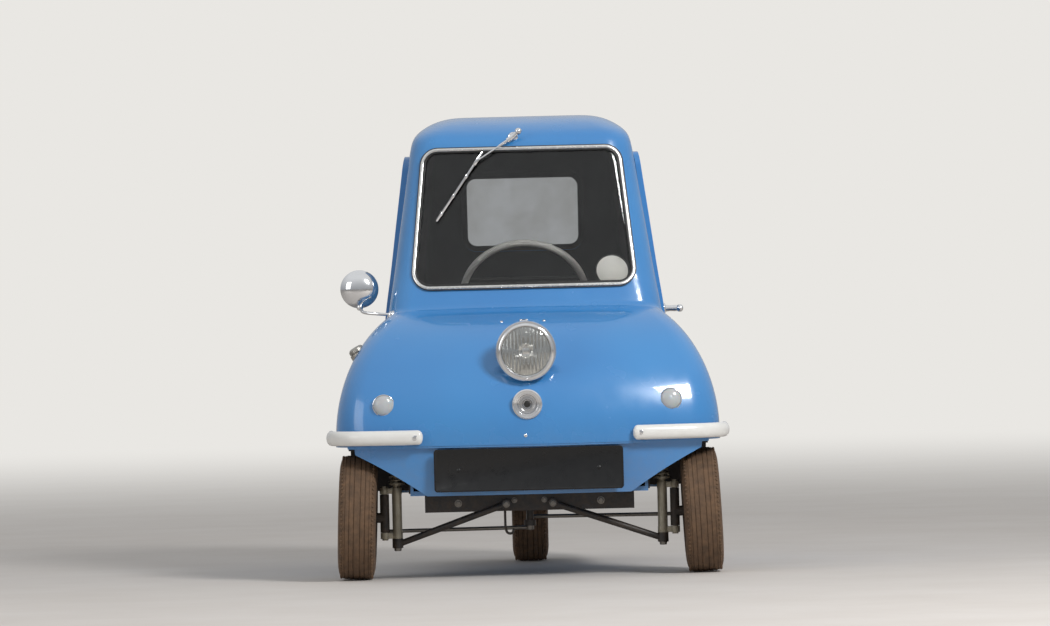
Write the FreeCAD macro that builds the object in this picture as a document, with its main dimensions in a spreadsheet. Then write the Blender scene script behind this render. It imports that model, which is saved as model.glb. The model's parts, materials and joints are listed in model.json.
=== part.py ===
import FreeCAD, Part
import math
import os
import Sketcher
from FreeCAD import Placement, Rotation, Vector

# A three-wheeled microcar: two steered wheels in front, one wheel behind.
# Millimetres. X to the car's left, Y to the rear, Z up, the ground at z = 0.

SIZES = (
    # body heights
    ("ledge_height", 345), ("belt_height", 660), ("eave_height", 1105), ("roof_height", 1194),
    # the cab, a tall box with a raked front and a sloping tail
    ("wall", 10), ("foot_front", 405), ("belt_front", 425), ("eave_front", 288),
    ("tail_reach", 686.2), ("tail_height", 410), ("belt_rear", 615), ("eave_rear", 385),
    ("belt_half_front", 364), ("belt_half_rear", 285),
    ("eave_half_front", 298), ("eave_half_rear", 238), ("sill_spread", 8), ("tail_spread", 15),
    ("roof_round_front", 190), ("roof_round_rear", 200), ("roof_round_side", 130),
    ("cab_corner_front", 70), ("cab_corner_rear", 110), ("cab_corner_top", 70),
    ("screen_sweep", 2500), ("tail_sweep", 900),
    # the nose with its two wings
    ("nose_reach", 684.5), ("nose_sweep", 1690), ("wing_half", 495.5), ("wing_foot", 360),
    ("wing_crest", 720), ("wing_fall_side", 270), ("wing_fall_front", 417), ("wing_end", 270),
    ("wing_corner_front", 110), ("wing_corner_rear", 90), ("blend_radius", 25),
    # the tub under the ledge
    ("floor_height", 216), ("floor_thick", 12), ("tub_inset", 14), ("tub_lean", 10),
    ("tub_wall", 8), ("flange_thick", 5), ("flange_inset", 2),
    ("bay_inner", 306), ("bay_front", 600), ("bay_rear", 290),
    ("apron_foot_half", 262), ("apron_mid_half", 360), ("apron_mid_height", 279),
    ("apron_top_half", 470), ("apron_top_height", 337),
    ("liner_radius", 204), ("liner_thick", 4), ("liner_outer", 462), ("liner_foot", 222),
    # wheels
    ("front_axle", 496), ("wheelbase", 982), ("wheel_half_track", 444.5), ("camber", 2.5),
    ("tyre_radius", 160), ("tyre_half", 49), ("tread_half", 30), ("shoulder_drop", 18), ("tyre_sides", 60),
    ("bead_radius", 64),
    ("rim_half", 40), ("rim_flange", 72), ("rim_sheet", 3), ("drum_radius", 52),
    ("drum_inner", 35), ("drum_outer", 8), ("hub_radius", 20), ("hub_end", 30),
    ("axle_radius", 8), ("running_gap", 0.05), ("seat_gap", 0.3),
    # steering
    ("kingpin_half", 375), ("kingpin_radius", 7), ("sleeve_radius", 12),
    ("sleeve_low", 121), ("sleeve_high", 219), ("lug_low", 104), ("lug_thick", 16),
    ("steer_arm", 70), ("steer_arm_low", 128), ("steer_arm_thick", 14), ("stud_radius", 5),
    ("stud_gap", 0.6), ("rod_radius", 5), ("rod_eye_radius", 10), ("rod_eye_thick", 12),
    ("rod_eye_gap", 1), ("backplate_radius", 50), ("backplate_gap", 6), ("backplate_thick", 3),
    ("drop_pivot", 440), ("drop_shaft_radius", 9), ("pedestal_radius", 15),
    ("column_tilt", 30), ("wheel_centre_y", 170), ("wheel_centre_z", 720),
    ("steering_rim", 162), ("steering_grip", 9), ("grip_sides", 12), ("column_radius", 9), ("box_low", 500),
    ("box_high", 600), ("box_half", 30), ("box_front", 475), ("box_rear", 405),
    ("shaft_top", 530), ("column_foot", 430),
    # front suspension
    ("strut_half", 343), ("strut_radius", 13), ("spring_radius", 20), ("spring_core", 15), ("front_coils", 8),
    ("spring_low", 250), ("spring_high", 340), ("cross_half", 270), ("cross_front", 530),
    ("cross_rear", 462), ("cross_low", 170), ("arm_eye_half", 60), ("arm_eye_height", 188),
    ("arm_eye_radius", 12), ("arm_eye_length", 22), ("arm_radius", 8), ("arm_boss_radius", 14),
    ("arm_boss_low", 80),
    # windscreen and windows
    ("screen_low", 742), ("screen_high", 1114), ("screen_half_low", 297.5),
    ("screen_half_high", 261.5), ("screen_corner", 48), ("frame_width", 13), ("frame_proud", 5),
    ("rear_frame_proud", 3), ("glass_thick", 4), ("glass_inset", 2), ("side_glass_inset", 7),
    ("rear_low", 840), ("rear_high", 1050), ("rear_half", 165), ("rear_corner", 40),
    # door, and the fixed panel that matches it
    ("door_front_low", 235), ("door_front_high", 196), ("door_rear", 215), ("door_foot", 375),
    ("door_top", 1094), ("door_corner", 40), ("door_proud", 18), ("door_gap", 3), ("door_lap", 16),
    ("pan_depth", 12), ("pan_gap", 6), ("pillar", 48), ("window_low", 700),
    ("hinge_low", 590), ("hinge_high", 960), ("hinge_out", 9), ("hinge_back", 14),
    ("hinge_barrel", 7), ("hinge_pin", 4), ("hinge_length", 54), ("hinge_leaf", 3),
    ("hinge_reach", 42), ("handle_height", 680), ("handle_reach", 50), ("handle_radius", 7),
    ("handle_back", 30), ("handle_bed", 6), ("handle_lever", 12), ("handle_length", 92),
    # lamps, horn and trim
    ("headlamp_height", 583), ("headlamp_radius", 77), ("headlamp_stand", 72),
    ("headlamp_depth", 165), ("headlamp_bezel", 11), ("lens_dome", 14), ("lens_curve", 160), ("hole_gap", 1),
    ("horn_height", 447), ("horn_radius", 38.5), ("horn_stand", 13.8), ("horn_throat", 8.5), ("horn_depth", 30),
    ("side_lamp_half", 368.5), ("side_lamp_height", 451), ("side_lamp_radius", 28),
    ("side_lamp_stand", 14), ("tail_lamp_half", 205), ("tail_lamp_height", 470),
    ("tail_lamp_radius", 30), ("tail_lamp_stand", 12),
    ("bumper_height", 368), ("bumper_half_depth", 12), ("bumper_half_height", 19),
    ("bumper_inner", 269), ("bumper_back", 500), ("bumper_gap", 1.0), ("bumper_stay", 7), ("bumper_sides", 16),
    ("plate_half", 243), ("plate_low", 226), ("plate_high", 336), ("plate_thick", 2),
    ("plate_bolt_half", 180), ("plate_bolt_radius", 3), ("plate_spacer", 7.2), ("plate_stand", 6),
    ("mirror_half", 430), ("mirror_height", 750), ("mirror_radius", 50), ("mirror_depth", 26),
    ("mirror_y", 330), ("mirror_stalk", 4), ("mirror_foot_y", 372), ("mirror_foot_z", 682),
    ("cap_half", 435), ("cap_y", 470), ("cap_radius", 21), ("cap_stand", 16),
    ("wiper_x", 20), ("wiper_height", 1138), ("wiper_stand", 24), ("wiper_boss", 9), ("wiper_arm", 3.2),
    ("wiper_knee_x", 118), ("wiper_knee_height", 1076), ("wiper_tip_x", 225), ("wiper_tip_height", 922),
    ("wiper_blade", 4.5), ("bail_half", 70), ("bail_height", 610),
    ("bail_radius", 7), ("bail_stand", 40),
    # cabin and drive
    ("dash_height", 664), ("dash_thick", 14), ("dash_depth", 95), ("dash_lip", 24), ("seat_half", 200),
    ("seat_front", 90), ("seat_rear", 250), ("seat_plinth", 400), ("plinth_wall", 8),
    ("cushion_thick", 80), ("backrest_height", 380), ("backrest_thick", 70), ("backrest_lean", 12), ("back_set", 12),
    ("engine_width", 150), ("engine_length", 150), ("engine_height", 150), ("engine_x", 262),
    ("engine_y", 272), ("fork_half", 72), ("fork_radius", 8), ("fork_pivot_y", 272),
    ("fork_pivot_z", 196), ("fork_pivot_radius", 12), ("rear_spring_half", 78),
    ("rear_spring_radius", 12), ("rear_coils", 11), ("rear_spring_y", 425), ("wheel_box_half", 100),
    ("wheel_box_top", 380), ("wheel_box_wall", 6), ("wheel_box_front", 288),
    ("silencer_x", 160), ("silencer_y", 300), ("silencer_length", 220), ("silencer_radius", 24),
    ("silencer_z", 184), ("tailpipe_radius", 9), ("tailpipe_end", 660),
    ("pedal_width", 44), ("pedal_height", 60), ("pedal_y", 565),
)

doc = FreeCAD.newDocument("microcar")
sheet = doc.addObject("Spreadsheet::Sheet", "Sizes")
for row, (alias, amount) in enumerate(SIZES, 1):
    sheet.set(f"A{row}", alias)
    sheet.set(f"B{row}", str(amount))
    sheet.setAlias(f"B{row}", alias)
doc.recompute()


class Dim(float):
    """A number that remembers the formula, in the sheet's aliases, that gave it."""

    def __new__(cls, amount, text=None):
        made = super().__new__(cls, amount)
        made.text = text or "%.9g" % float(amount)
        return made

    def __add__(self, other):
        return Dim(float(self) + float(other), f"({self.text} + {wording(other)})")

    def __radd__(self, other):
        return Dim(float(other) + float(self), f"({wording(other)} + {self.text})")

    def __sub__(self, other):
        return Dim(float(self) - float(other), f"({self.text} - {wording(other)})")

    def __rsub__(self, other):
        return Dim(float(other) - float(self), f"({wording(other)} - {self.text})")

    def __mul__(self, other):
        return Dim(float(self) * float(other), f"({self.text} * {wording(other)})")

    __rmul__ = __mul__

    def __truediv__(self, other):
        return Dim(float(self) / float(other), f"({self.text} / {wording(other)})")

    def __neg__(self):
        return Dim(-float(self), f"(-1 * {self.text})")


def wording(value):
    return getattr(value, "text", "%.9g" % float(value))


class Sheet:
    def __getattr__(self, alias):
        return Dim(float(sheet.get(alias)), "Sizes." + alias)


s = Sheet()
nodes = {}
SIDES = (("left", 1), ("right", -1))
ALONG_X = Rotation(Vector(0, 1, 0), 90)


def node(name, item):
    item.Label = name
    nodes[name] = item
    return item


def feature(name, shape):
    item = doc.addObject("Part::Feature", name)
    item.Shape = shape
    return item


def set_place(item, at, rotation=None):
    if rotation is not None:
        item.Placement = Placement(Vector(), rotation)
    for axis, value in zip("xyz", at):
        item.setExpression(f"Placement.Base.{axis}", wording(value))


def box(name, low, lengths):
    item = doc.addObject("Part::Box", name)
    for side, value in zip(("Length", "Width", "Height"), lengths):
        item.setExpression(side, wording(value))
    set_place(item, low)
    return item


def cylinder(name, radius, length, at, rotation=None):
    item = doc.addObject("Part::Cylinder", name)
    item.setExpression("Radius", wording(radius))
    item.setExpression("Height", wording(length))
    set_place(item, at, rotation)
    return item


def fuse(name, items):
    item = doc.addObject("Part::MultiFuse", name)
    item.Shapes = items
    item.Refine = True
    return item


def cut(name, base, tools):
    item = doc.addObject("Part::Cut", name)
    item.Base = base
    item.Tool = tools[0] if len(tools) == 1 else fuse(name + "_tools", tools)
    return item


def group(name, items):
    item = doc.addObject("Part::Compound", name)
    item.Links = items
    return item


def path(sketch, points):
    """Close a sketch through points (u, v) or (u, v, radius): the radius of the arc that
    leaves the point, positive where it turns left."""
    count = len(points)
    ends = []
    for index, point in enumerate(points):
        after = points[(index + 1) % count]
        a = Vector(float(point[0]), float(point[1]), 0)
        b = Vector(float(after[0]), float(after[1]), 0)
        if len(point) == 2:
            sketch.addGeometry(Part.LineSegment(a, b), False)
            ends.append((1, 2))
            continue
        radius = abs(float(point[2]))
        turn = 1 if float(point[2]) > 0 else -1
        chord = b - a
        left = Vector(-chord.y, chord.x, 0).normalize()
        rise = math.sqrt(max(radius ** 2 - (chord.Length / 2) ** 2, 0))
        centre = (a + b) * 0.5 + left * rise * turn
        first = math.atan2(a.y - centre.y, a.x - centre.x)
        last = math.atan2(b.y - centre.y, b.x - centre.x)
        round_edge = Part.Circle(centre, Vector(0, 0, 1), radius)
        if turn > 0:
            sketch.addGeometry(Part.ArcOfCircle(round_edge, first, last), False)
            ends.append((1, 2))
        else:
            sketch.addGeometry(Part.ArcOfCircle(round_edge, last, first), False)
            ends.append((2, 1))
    for index, point in enumerate(points):
        following = (index + 1) % count
        sketch.addConstraint(Sketcher.Constraint(
            "Coincident", index, ends[index][1], following, ends[following][0]))
        for kind, value in (("DistanceX", point[0]), ("DistanceY", point[1])):
            rule = sketch.addConstraint(Sketcher.Constraint(
                kind, -1, 1, index, ends[index][0], float(value)))
            sketch.setExpression(f"Constraints[{rule}]", wording(value))
        if len(point) == 3:
            rule = sketch.addConstraint(Sketcher.Constraint("Radius", index, abs(float(point[2]))))
            size = point[2] if float(point[2]) > 0 else point[2] * -1
            sketch.setExpression(f"Constraints[{rule}]", wording(size))


def sketched(name, role, points):
    body = doc.addObject("PartDesign::Body", name)
    sketch = body.newObject("Sketcher::SketchObject", name + "_sketch")
    base = [item for item in body.Origin.OriginFeatures if item.Role == role][0]
    sketch.AttachmentSupport = [(base, "")]
    sketch.MapMode = "FlatFace"
    path(sketch, points)
    return body, sketch


def turned(name, role, axis, points, at=(0, 0, 0), rotation=None):
    """A body turned about the sketch's H_Axis or V_Axis."""
    body, sketch = sketched(name, role, points)
    turn = body.newObject("PartDesign::Revolution", name + "_turn")
    turn.Profile = sketch
    turn.ReferenceAxis = (sketch, [axis])
    turn.Angle = 360
    set_place(body, at, rotation)
    return body


def rod(start, end, radius):
    along = end - start
    return Part.makeCylinder(radius, along.Length, start, along)


# The body's plan at one height: a bowed front, straight sides and a bowed rear, joined by arcs.

def plan_corners(front, rear, half_front, half_rear, round_front, round_rear,
                 sweep_front, sweep_rear):
    start, end = Vector(half_front, front, 0), Vector(half_rear, rear, 0)
    along = (end - start).normalize()
    outward = Vector(along.y, -along.x, 0)

    def corner(radius, sweep, centre, nearest):
        point = start - outward * radius
        gap = point - centre
        reach = sweep - radius
        half_b = gap.dot(along)
        root = math.sqrt(half_b ** 2 - gap.dot(gap) + reach ** 2)
        middle = point + along * (-half_b - root if nearest else -half_b + root)
        on_arc = centre + (middle - centre) * (sweep / reach)
        on_side = middle + outward * radius
        bisector = (on_arc + on_side - middle * 2).normalize()
        return on_arc, middle + bisector * radius, on_side

    ahead = corner(float(round_front), sweep_front, Vector(0, front + sweep_front, 0), True)
    behind = corner(float(round_rear), sweep_rear, Vector(0, rear - sweep_rear, 0), False)
    return ahead, behind


def plan_wire(z, plan):
    ahead, behind = plan_corners(*plan)

    def at(point, side=1):
        return Vector(side * point.x, point.y, z)

    front, rear = plan[0], plan[1]
    return Part.Wire([
        Part.Arc(at(ahead[0], -1), Vector(0, front, z), at(ahead[0])).toShape(),
        Part.Arc(at(ahead[0]), at(ahead[1]), at(ahead[2])).toShape(),
        Part.LineSegment(at(ahead[2]), at(behind[2])).toShape(),
        Part.Arc(at(behind[2]), at(behind[1]), at(behind[0])).toShape(),
        Part.Arc(at(behind[0]), Vector(0, rear, z), at(behind[0], -1)).toShape(),
        Part.Arc(at(behind[0], -1), at(behind[1], -1), at(behind[2], -1)).toShape(),
        Part.LineSegment(at(behind[2], -1), at(ahead[2], -1)).toShape(),
        Part.Arc(at(ahead[2], -1), at(ahead[1], -1), at(ahead[0], -1)).toShape(),
    ])


def quarter(share):
    """How far a quarter ellipse has come in after a share of its height."""
    return 1 - math.sqrt(1 - min(max(share, 0), 1) ** 2)


def cab_plan(z, inset=0.0):
    """The cab's plan at height z, a wall's share in from its outside."""
    rise = quarter((z - s.eave_height) / (s.roof_height - inset - s.eave_height))
    level = min(z, float(s.eave_height))
    if level < s.belt_height:
        drop = (s.belt_height - level) / (s.belt_height - s.ledge_height)
        bulge = ((level - s.tail_height) / (s.belt_height - s.tail_height)) ** 2
        half_front = s.belt_half_front + s.sill_spread * drop
        half_rear = s.belt_half_rear + s.tail_spread * drop
        front = -s.belt_front + (s.belt_front - s.foot_front) * drop
        rear = s.tail_reach - (s.tail_reach - s.belt_rear) * bulge
    else:
        share = (level - s.belt_height) / (s.eave_height - s.belt_height)
        half_front = s.belt_half_front + (s.eave_half_front - s.belt_half_front) * share
        half_rear = s.belt_half_rear + (s.eave_half_rear - s.belt_half_rear) * share
        front = -s.belt_front + (s.belt_front - s.eave_front) * share
        rear = s.belt_rear + (s.eave_rear - s.belt_rear) * share
    corner_rear = s.cab_corner_rear + (s.cab_corner_top - s.cab_corner_rear) * rise
    plan = (front + s.roof_round_front * rise + inset, rear - s.roof_round_rear * rise - inset,
            half_front - s.roof_round_side * rise - inset,
            half_rear - s.roof_round_side * rise - inset,
            s.cab_corner_front - inset, corner_rear - inset,
            s.screen_sweep - inset, s.tail_sweep - inset)
    return [float(value) for value in plan]


def nose_plan(z, inset=0.0):
    """The plan of the nose and wings at height z, a wall's share in from their outside."""
    share = (z - s.wing_foot) / (s.wing_crest - s.wing_foot)
    fall = quarter(share)
    shrink = 1 - 0.6 * max(float(share), 0)
    half = s.wing_half - s.wing_fall_side * fall - inset
    plan = (-s.nose_reach + s.wing_fall_front * fall + inset, -s.wing_end - inset, half, half,
            (s.wing_corner_front - inset) * shrink, (s.wing_corner_rear - inset) * shrink,
            s.nose_sweep - inset, s.screen_sweep * 2)
    return [float(value) for value in plan]


# heights of the cab's sections: shares from ledge to belt, belt to eave and eave to roof
CAB_BELOW_BELT = (0.17, 0.43, 0.71)
CAB_ABOVE_BELT = (0, 0.25, 0.5, 0.75, 1)
CAB_ROOF = (0.35, 0.6, 0.8, 0.93, 1)
WING_RISE = (0, 0.2, 0.4, 0.6, 0.75, 0.87, 0.95)


cab_solids = {}


def cab_solid(inset=0.0, foot=None):
    foot = float(s.ledge_height) if foot is None else foot
    if (inset, foot) in cab_solids:
        return cab_solids[inset, foot]
    roof = s.roof_height - inset
    heights = [foot]
    heights += [s.ledge_height + (s.belt_height - s.ledge_height) * u for u in CAB_BELOW_BELT]
    heights += [s.belt_height + (s.eave_height - s.belt_height) * u for u in CAB_ABOVE_BELT]
    heights += [s.eave_height + (roof - s.eave_height) * u for u in CAB_ROOF]
    wires = [plan_wire(float(z), cab_plan(float(z), inset)) for z in heights]
    cab_solids[inset, foot] = Part.makeLoft(wires, True)
    return cab_solids[inset, foot]


def nose_solid(inset=0.0, foot=None):
    heights = [float(s.ledge_height) if foot is None else foot]
    heights += [s.wing_foot + (s.wing_crest - s.wing_foot) * u for u in WING_RISE]
    return Part.makeLoft([plan_wire(float(z), nose_plan(float(z), inset)) for z in heights], True)


def tub_solid(inset, low, high):
    """The tub's outside, moved in by inset, between two heights."""
    solids = []
    for plan in (cab_plan, nose_plan):
        wires = []
        for z in (low, high):
            lean = s.tub_lean * (s.ledge_height - z) / (s.ledge_height - s.floor_height)
            wires.append(plan_wire(float(z), plan(float(s.ledge_height), float(inset + lean))))
        solids.append(Part.makeLoft(wires, True, True))
    return solids[0].fuse(solids[1])


# Outlines with rounded corners, drawn in the front view (X, Z) or the side view (Y, Z).

def rounded_face(points, radius, view, level):
    def place(u, v):
        return Vector(u, level, v) if view == "front" else Vector(level, u, v)

    count = len(points)
    edges = []
    starts, middles, ends = [], [], []
    for index in range(count):
        here = Vector(*points[index], 0)
        before = (Vector(*points[index - 1], 0) - here).normalize()
        after = (Vector(*points[(index + 1) % count], 0) - here).normalize()
        half_angle = before.getAngle(after) / 2
        back = radius / math.tan(half_angle)
        bisector = (before + after).normalize()
        starts.append(here + before * back)
        ends.append(here + after * back)
        middles.append(here + bisector * (radius / math.sin(half_angle) - radius))
    for index in range(count):
        a, b, c = (place(p.x, p.y) for p in (starts[index], middles[index], ends[index]))
        edges.append(Part.Arc(a, b, c).toShape())
        following = starts[(index + 1) % count]
        edges.append(Part.LineSegment(c, place(following.x, following.y)).toShape())
    return Part.Face(Part.Wire(edges))


def screen_prism(grow=0.0):
    low, high = s.screen_low - grow, s.screen_high + grow
    foot, top = s.screen_half_low + grow, s.screen_half_high + grow
    points = [(-foot, low), (foot, low), (top, high), (-top, high)]
    face = rounded_face([(float(u), float(v)) for u, v in points],
                        float(s.screen_corner + grow), "front", -float(s.nose_reach))
    return face.extrude(Vector(0, float(s.nose_reach), 0))


def rear_prism(grow=0.0):
    low, high, half = s.rear_low - grow, s.rear_high + grow, s.rear_half + grow
    points = [(-half, low), (half, low), (half, high), (-half, high)]
    face = rounded_face([(float(u), float(v)) for u, v in points],
                        float(s.rear_corner + grow), "front", 0.0)
    return face.extrude(Vector(0, float(s.tail_reach), 0))


def door_prism(side, grow=0.0):
    """The door's outline in the side view, grown or shrunk, run out to one side."""
    low, high = s.door_foot - grow, s.door_top + grow
    points = [(-s.door_front_low - grow, low), (s.door_rear + grow, low),
              (s.door_rear + grow, high), (-s.door_front_high - grow, high),
              (-s.door_front_low - grow, s.belt_height)]
    face = rounded_face([(float(u), float(v)) for u, v in points],
                        float(s.door_corner) + min(float(grow), 0) / 2, "side", 0.0)
    return face.extrude(Vector(side * float(s.wing_half), 0, 0))


def window_prism(side, grow=0.0):
    """The side window: the door's outline less its pillars, above the belt."""
    edge = s.pillar - grow
    low = s.window_low - grow
    lean = (s.door_front_low - s.door_front_high) / (s.door_top - s.belt_height)
    front_low = -s.door_front_low + lean * (low - s.belt_height) + edge
    front_high = -s.door_front_high - lean * edge + edge
    points = [(front_low, low), (s.door_rear - edge, low),
              (s.door_rear - edge, s.door_top - edge), (front_high, s.door_top - edge)]
    face = rounded_face([(float(u), float(v)) for u, v in points],
                        float(s.door_corner), "side", 0.0)
    return face.extrude(Vector(side * float(s.wing_half), 0, 0))


cab_outer = cab_solid()
nose_outer = nose_solid()


def body_outside():
    """Nose and cab as one solid, with a soft blend where the wings meet the cab."""
    whole = cab_outer.fuse(nose_outer)
    cab_skin, nose_skin = Part.Shell(cab_outer.Faces), Part.Shell(nose_outer.Faces)
    seams = []
    for edge in whole.Edges:
        first, last = edge.FirstParameter, edge.LastParameter
        points = [edge.valueAt(first + (last - first) * share) for share in (0.2, 0.5, 0.8)]
        on_both = all(Part.Vertex(point).distToShape(skin)[0] < 0.05
                      for point in points for skin in (cab_skin, nose_skin))
        if on_both and points[1].z > s.ledge_height + 1:
            seams.append(edge)
    return whole.makeFillet(float(s.blend_radius), seams)


outside = body_outside()
tub_outside = tub_solid(float(s.tub_inset), float(s.floor_height), float(s.ledge_height))


def skin_point(start, direction, solid=None):
    """Where a ray from outside first meets the body."""
    far = Part.makeLine(start, start + direction * 2000)
    hits = far.common(solid or outside)
    return min((vertex.Point for vertex in hits.Vertexes), key=lambda p: (p - start).Length)


def front_skin(x, z):
    return skin_point(Vector(float(x), -1000, float(z)), Vector(0, 1, 0))


def rear_skin(x, z):
    return skin_point(Vector(float(x), 1000, float(z)), Vector(0, -1, 0))


def cab_side(y, z, inset=0.0):
    front, rear, half_front, half_rear = cab_plan(float(z), inset)[:4]
    return half_front + (half_rear - half_front) * (float(y) - front) / (rear - front)


# The wheels, drawn about their own centre with the axle along X, outboard positive.

def tyre_points():
    """Half of the tyre's section, from the middle of the tread round to its seat on the rim."""
    radius, half, drop = s.tyre_radius, s.tyre_half, s.shoulder_drop
    return [(s.tread_half, radius), (half - drop * 0.45, radius - drop * 0.42),
            (half - drop * 0.08, radius - drop), (half, radius - drop * 1.7),
            (half - drop * 0.2, radius - drop * 3.4), (s.rim_half - 4.5, s.rim_flange + 2),
            (s.rim_half - 4.5, s.bead_radius + s.seat_gap)]


def tyre(at, rotation):
    """A tyre whose rounds are many-sided, so that it stands on a flat."""
    sides = int(s.tyre_sides)
    step = 2 * math.pi / sides
    section = [(float(x), float(r) / math.cos(step / 2)) for x, r in tyre_points()]
    section += [(-x, r) for x, r in reversed(section)]
    rings = [[Vector(x, r * math.cos(step * (k + 0.5)), r * math.sin(step * (k + 0.5)))
              for k in range(sides)] for x, r in section]
    faces = []
    for ring, beside in zip(rings, rings[1:] + rings[:1]):
        for k in range(sides):
            after = (k + 1) % sides
            faces.append(Part.Face(Part.makePolygon(
                [ring[k], ring[after], beside[after], beside[k], ring[k]])))
    skin = Part.makeCompound(faces)
    skin.sewShape()
    solid = Part.makeSolid(skin.Shells[0] if skin.ShapeType == "Compound" else skin)
    if solid.Volume < 0:
        solid.reverse()
    solid.Placement = Placement(Vector(*(float(value) for value in at)), rotation)
    return solid


def rim_points():
    bore = s.axle_radius + s.running_gap
    sheet = s.rim_sheet
    bead = s.bead_radius
    return [(-s.drum_inner, bore), (s.hub_end, bore), (s.hub_end, s.hub_radius),
            (s.drum_outer + 6, s.hub_radius), (s.drum_outer - 4, bead - 14),
            (s.drum_outer - 4, bead - sheet), (s.rim_half - 3, bead - sheet),
            (s.rim_half, s.rim_flange), (s.rim_half - 2, s.rim_flange), (s.rim_half - 4, bead),
            (-s.rim_half + 4, bead), (-s.rim_half + 2, s.rim_flange), (-s.rim_half, s.rim_flange),
            (-s.rim_half + 3, bead - sheet), (-s.drum_outer - 2, bead - sheet),
            (-s.drum_outer - 2, s.drum_radius), (-s.drum_inner, s.drum_radius),
            (-s.drum_inner, s.drum_radius - 6), (-s.drum_outer - 8, s.drum_radius - 6),
            (-s.drum_outer - 8, s.hub_radius), (-s.drum_inner, s.hub_radius)]


def wheel(name, at, rotation):
    node("tyre_" + name, feature("tyre_" + name, tyre(at, rotation)))
    node("rim_" + name, turned("rim_" + name, "XY_Plane", "H_Axis", rim_points(), at, rotation))


def wheel_turn(side):
    """Outboard along +X or -X, the top of the wheel leaning in by the camber."""
    facing = Rotation() if side > 0 else Rotation(Vector(0, 0, 1), 180)
    return Rotation(Vector(0, 1, 0), -side * float(s.camber)) * facing


lean_in = math.radians(float(s.camber))
front_hub_height = s.tyre_radius * math.cos(lean_in) + s.tread_half * math.sin(lean_in)
for word, side in SIDES:
    wheel("front_" + word, (side * s.wheel_half_track, -s.front_axle, front_hub_height),
          wheel_turn(side))
rear_axle = s.wheelbase - s.front_axle
wheel("rear", (0, rear_axle, s.tyre_radius), Rotation())


# The body shell, its tub and the linings of the front wheel arches.

def headlamp_points(grow=0.0):
    radius = s.headlamp_radius - 5 + grow
    depth = s.headlamp_depth
    return [(0, 0), (radius, 0), (radius - 3, depth * 0.25), (radius * 0.84, depth * 0.52),
            (radius * 0.62, depth * 0.78), (radius * 0.3, depth * 0.96 + grow),
            (0, depth + grow)]


lamp_front = front_skin(0, s.headlamp_height).y - s.headlamp_stand
horn_skin = front_skin(0, s.horn_height).y


def turned_shape(points, at):
    """A solid turned about an axis along Y from points (radius, depth)."""
    corners = [Vector(float(point[0]), float(point[1]), 0) for point in points]
    face = Part.Face(Part.makePolygon(corners + corners[:1]))
    solid = face.revolve(Vector(), Vector(0, 1, 0), 360)
    if solid.Volume < 0:
        solid.reverse()
    return solid.translated(at)


lamp_hole = turned_shape(headlamp_points(float(s.hole_gap)),
                         Vector(0, lamp_front, float(s.headlamp_height)))


def body_shell():
    low = float(s.ledge_height) - 10
    inner = cab_solid(float(s.wall), low).fuse(nose_solid(float(s.wall), low))
    shell = outside.cut(inner)
    tools = [screen_prism(), rear_prism(), lamp_hole, window_prism(-1),
             door_prism(1, -float(s.door_lap)).common(
                 Part.makeBox(600, 1400, 900, Vector(100, -700, 300)))]
    tools.append(Part.makeCylinder(float(s.horn_radius) - 6, 60,
                                   Vector(0, -float(s.nose_reach) - 20, float(s.horn_height)),
                                   Vector(0, 1, 0)))
    return shell.cut(tools)


node("body_shell", feature("body_shell", body_shell()))


def bay_box(side, grow=0.0):
    """The space of a front wheel, from the tub's side wall out."""
    inner = float(s.bay_inner) - grow
    low, high = float(s.floor_height) - 10, float(s.ledge_height) + 5
    return Part.makeBox(600 - inner, float(s.bay_front - s.bay_rear) + grow, high - low,
                        Vector(inner if side > 0 else -600, -float(s.bay_front), low))


def tail_room(tub_inset, cab_inset):
    """The space inside the tail: below the ledge in the tub, above it in the shell."""
    low, high = float(s.floor_height), float(s.ledge_height)
    return tub_solid(tub_inset, low, high).fuse(cab_solid(cab_inset, high))


def apron_cutter(side):
    """What lies outside the arch that the apron leaves for a wheel, in the front view."""
    low = float(s.floor_height)
    foot = Vector(side * float(s.apron_foot_half), 0, low)
    knee = Vector(side * float(s.apron_mid_half), 0, float(s.apron_mid_height))
    top = Vector(side * float(s.apron_top_half), 0, float(s.apron_top_height))
    far = side * 600
    outline = Part.Wire([Part.Arc(foot, knee, top).toShape(), Part.makePolygon(
        [top, Vector(far, 0, top.z), Vector(far, 0, low - 20), Vector(foot.x, 0, low - 20), foot])])
    cutter = Part.Face(outline).extrude(Vector(0, 140, 0))
    if cutter.Volume < 0:
        cutter.reverse()
    return cutter.translated(Vector(0, -float(s.bay_front) - 139, 0))


def wheel_box(grow):
    """The block of space for the rear wheel, grown by a wall."""
    half, front = float(s.wheel_box_half) + grow, float(s.wheel_box_front) - grow
    low = float(s.floor_height) - (20 if grow == 0 else -1)
    return Part.makeBox(2 * half, float(s.tail_reach) - front, float(s.wheel_box_top) + grow - low,
                        Vector(-half, front, low))


plate_middle = (s.plate_low + s.plate_high) / 2
plate_seat = skin_point(Vector(0, -1000, float(plate_middle)), Vector(0, 1, 0), tub_outside).y
plate_bolts = [Vector(side * float(s.plate_bolt_half), plate_seat, float(plate_middle))
               for word, side in SIDES]


def plate_bolt(centre):
    """The hole for one of the number plate's bolts, through the plate and the tub's wall."""
    return Part.makeCylinder(float(s.plate_bolt_radius), 120, centre - Vector(0, 30, 0),
                             Vector(0, 1, 0))


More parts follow.
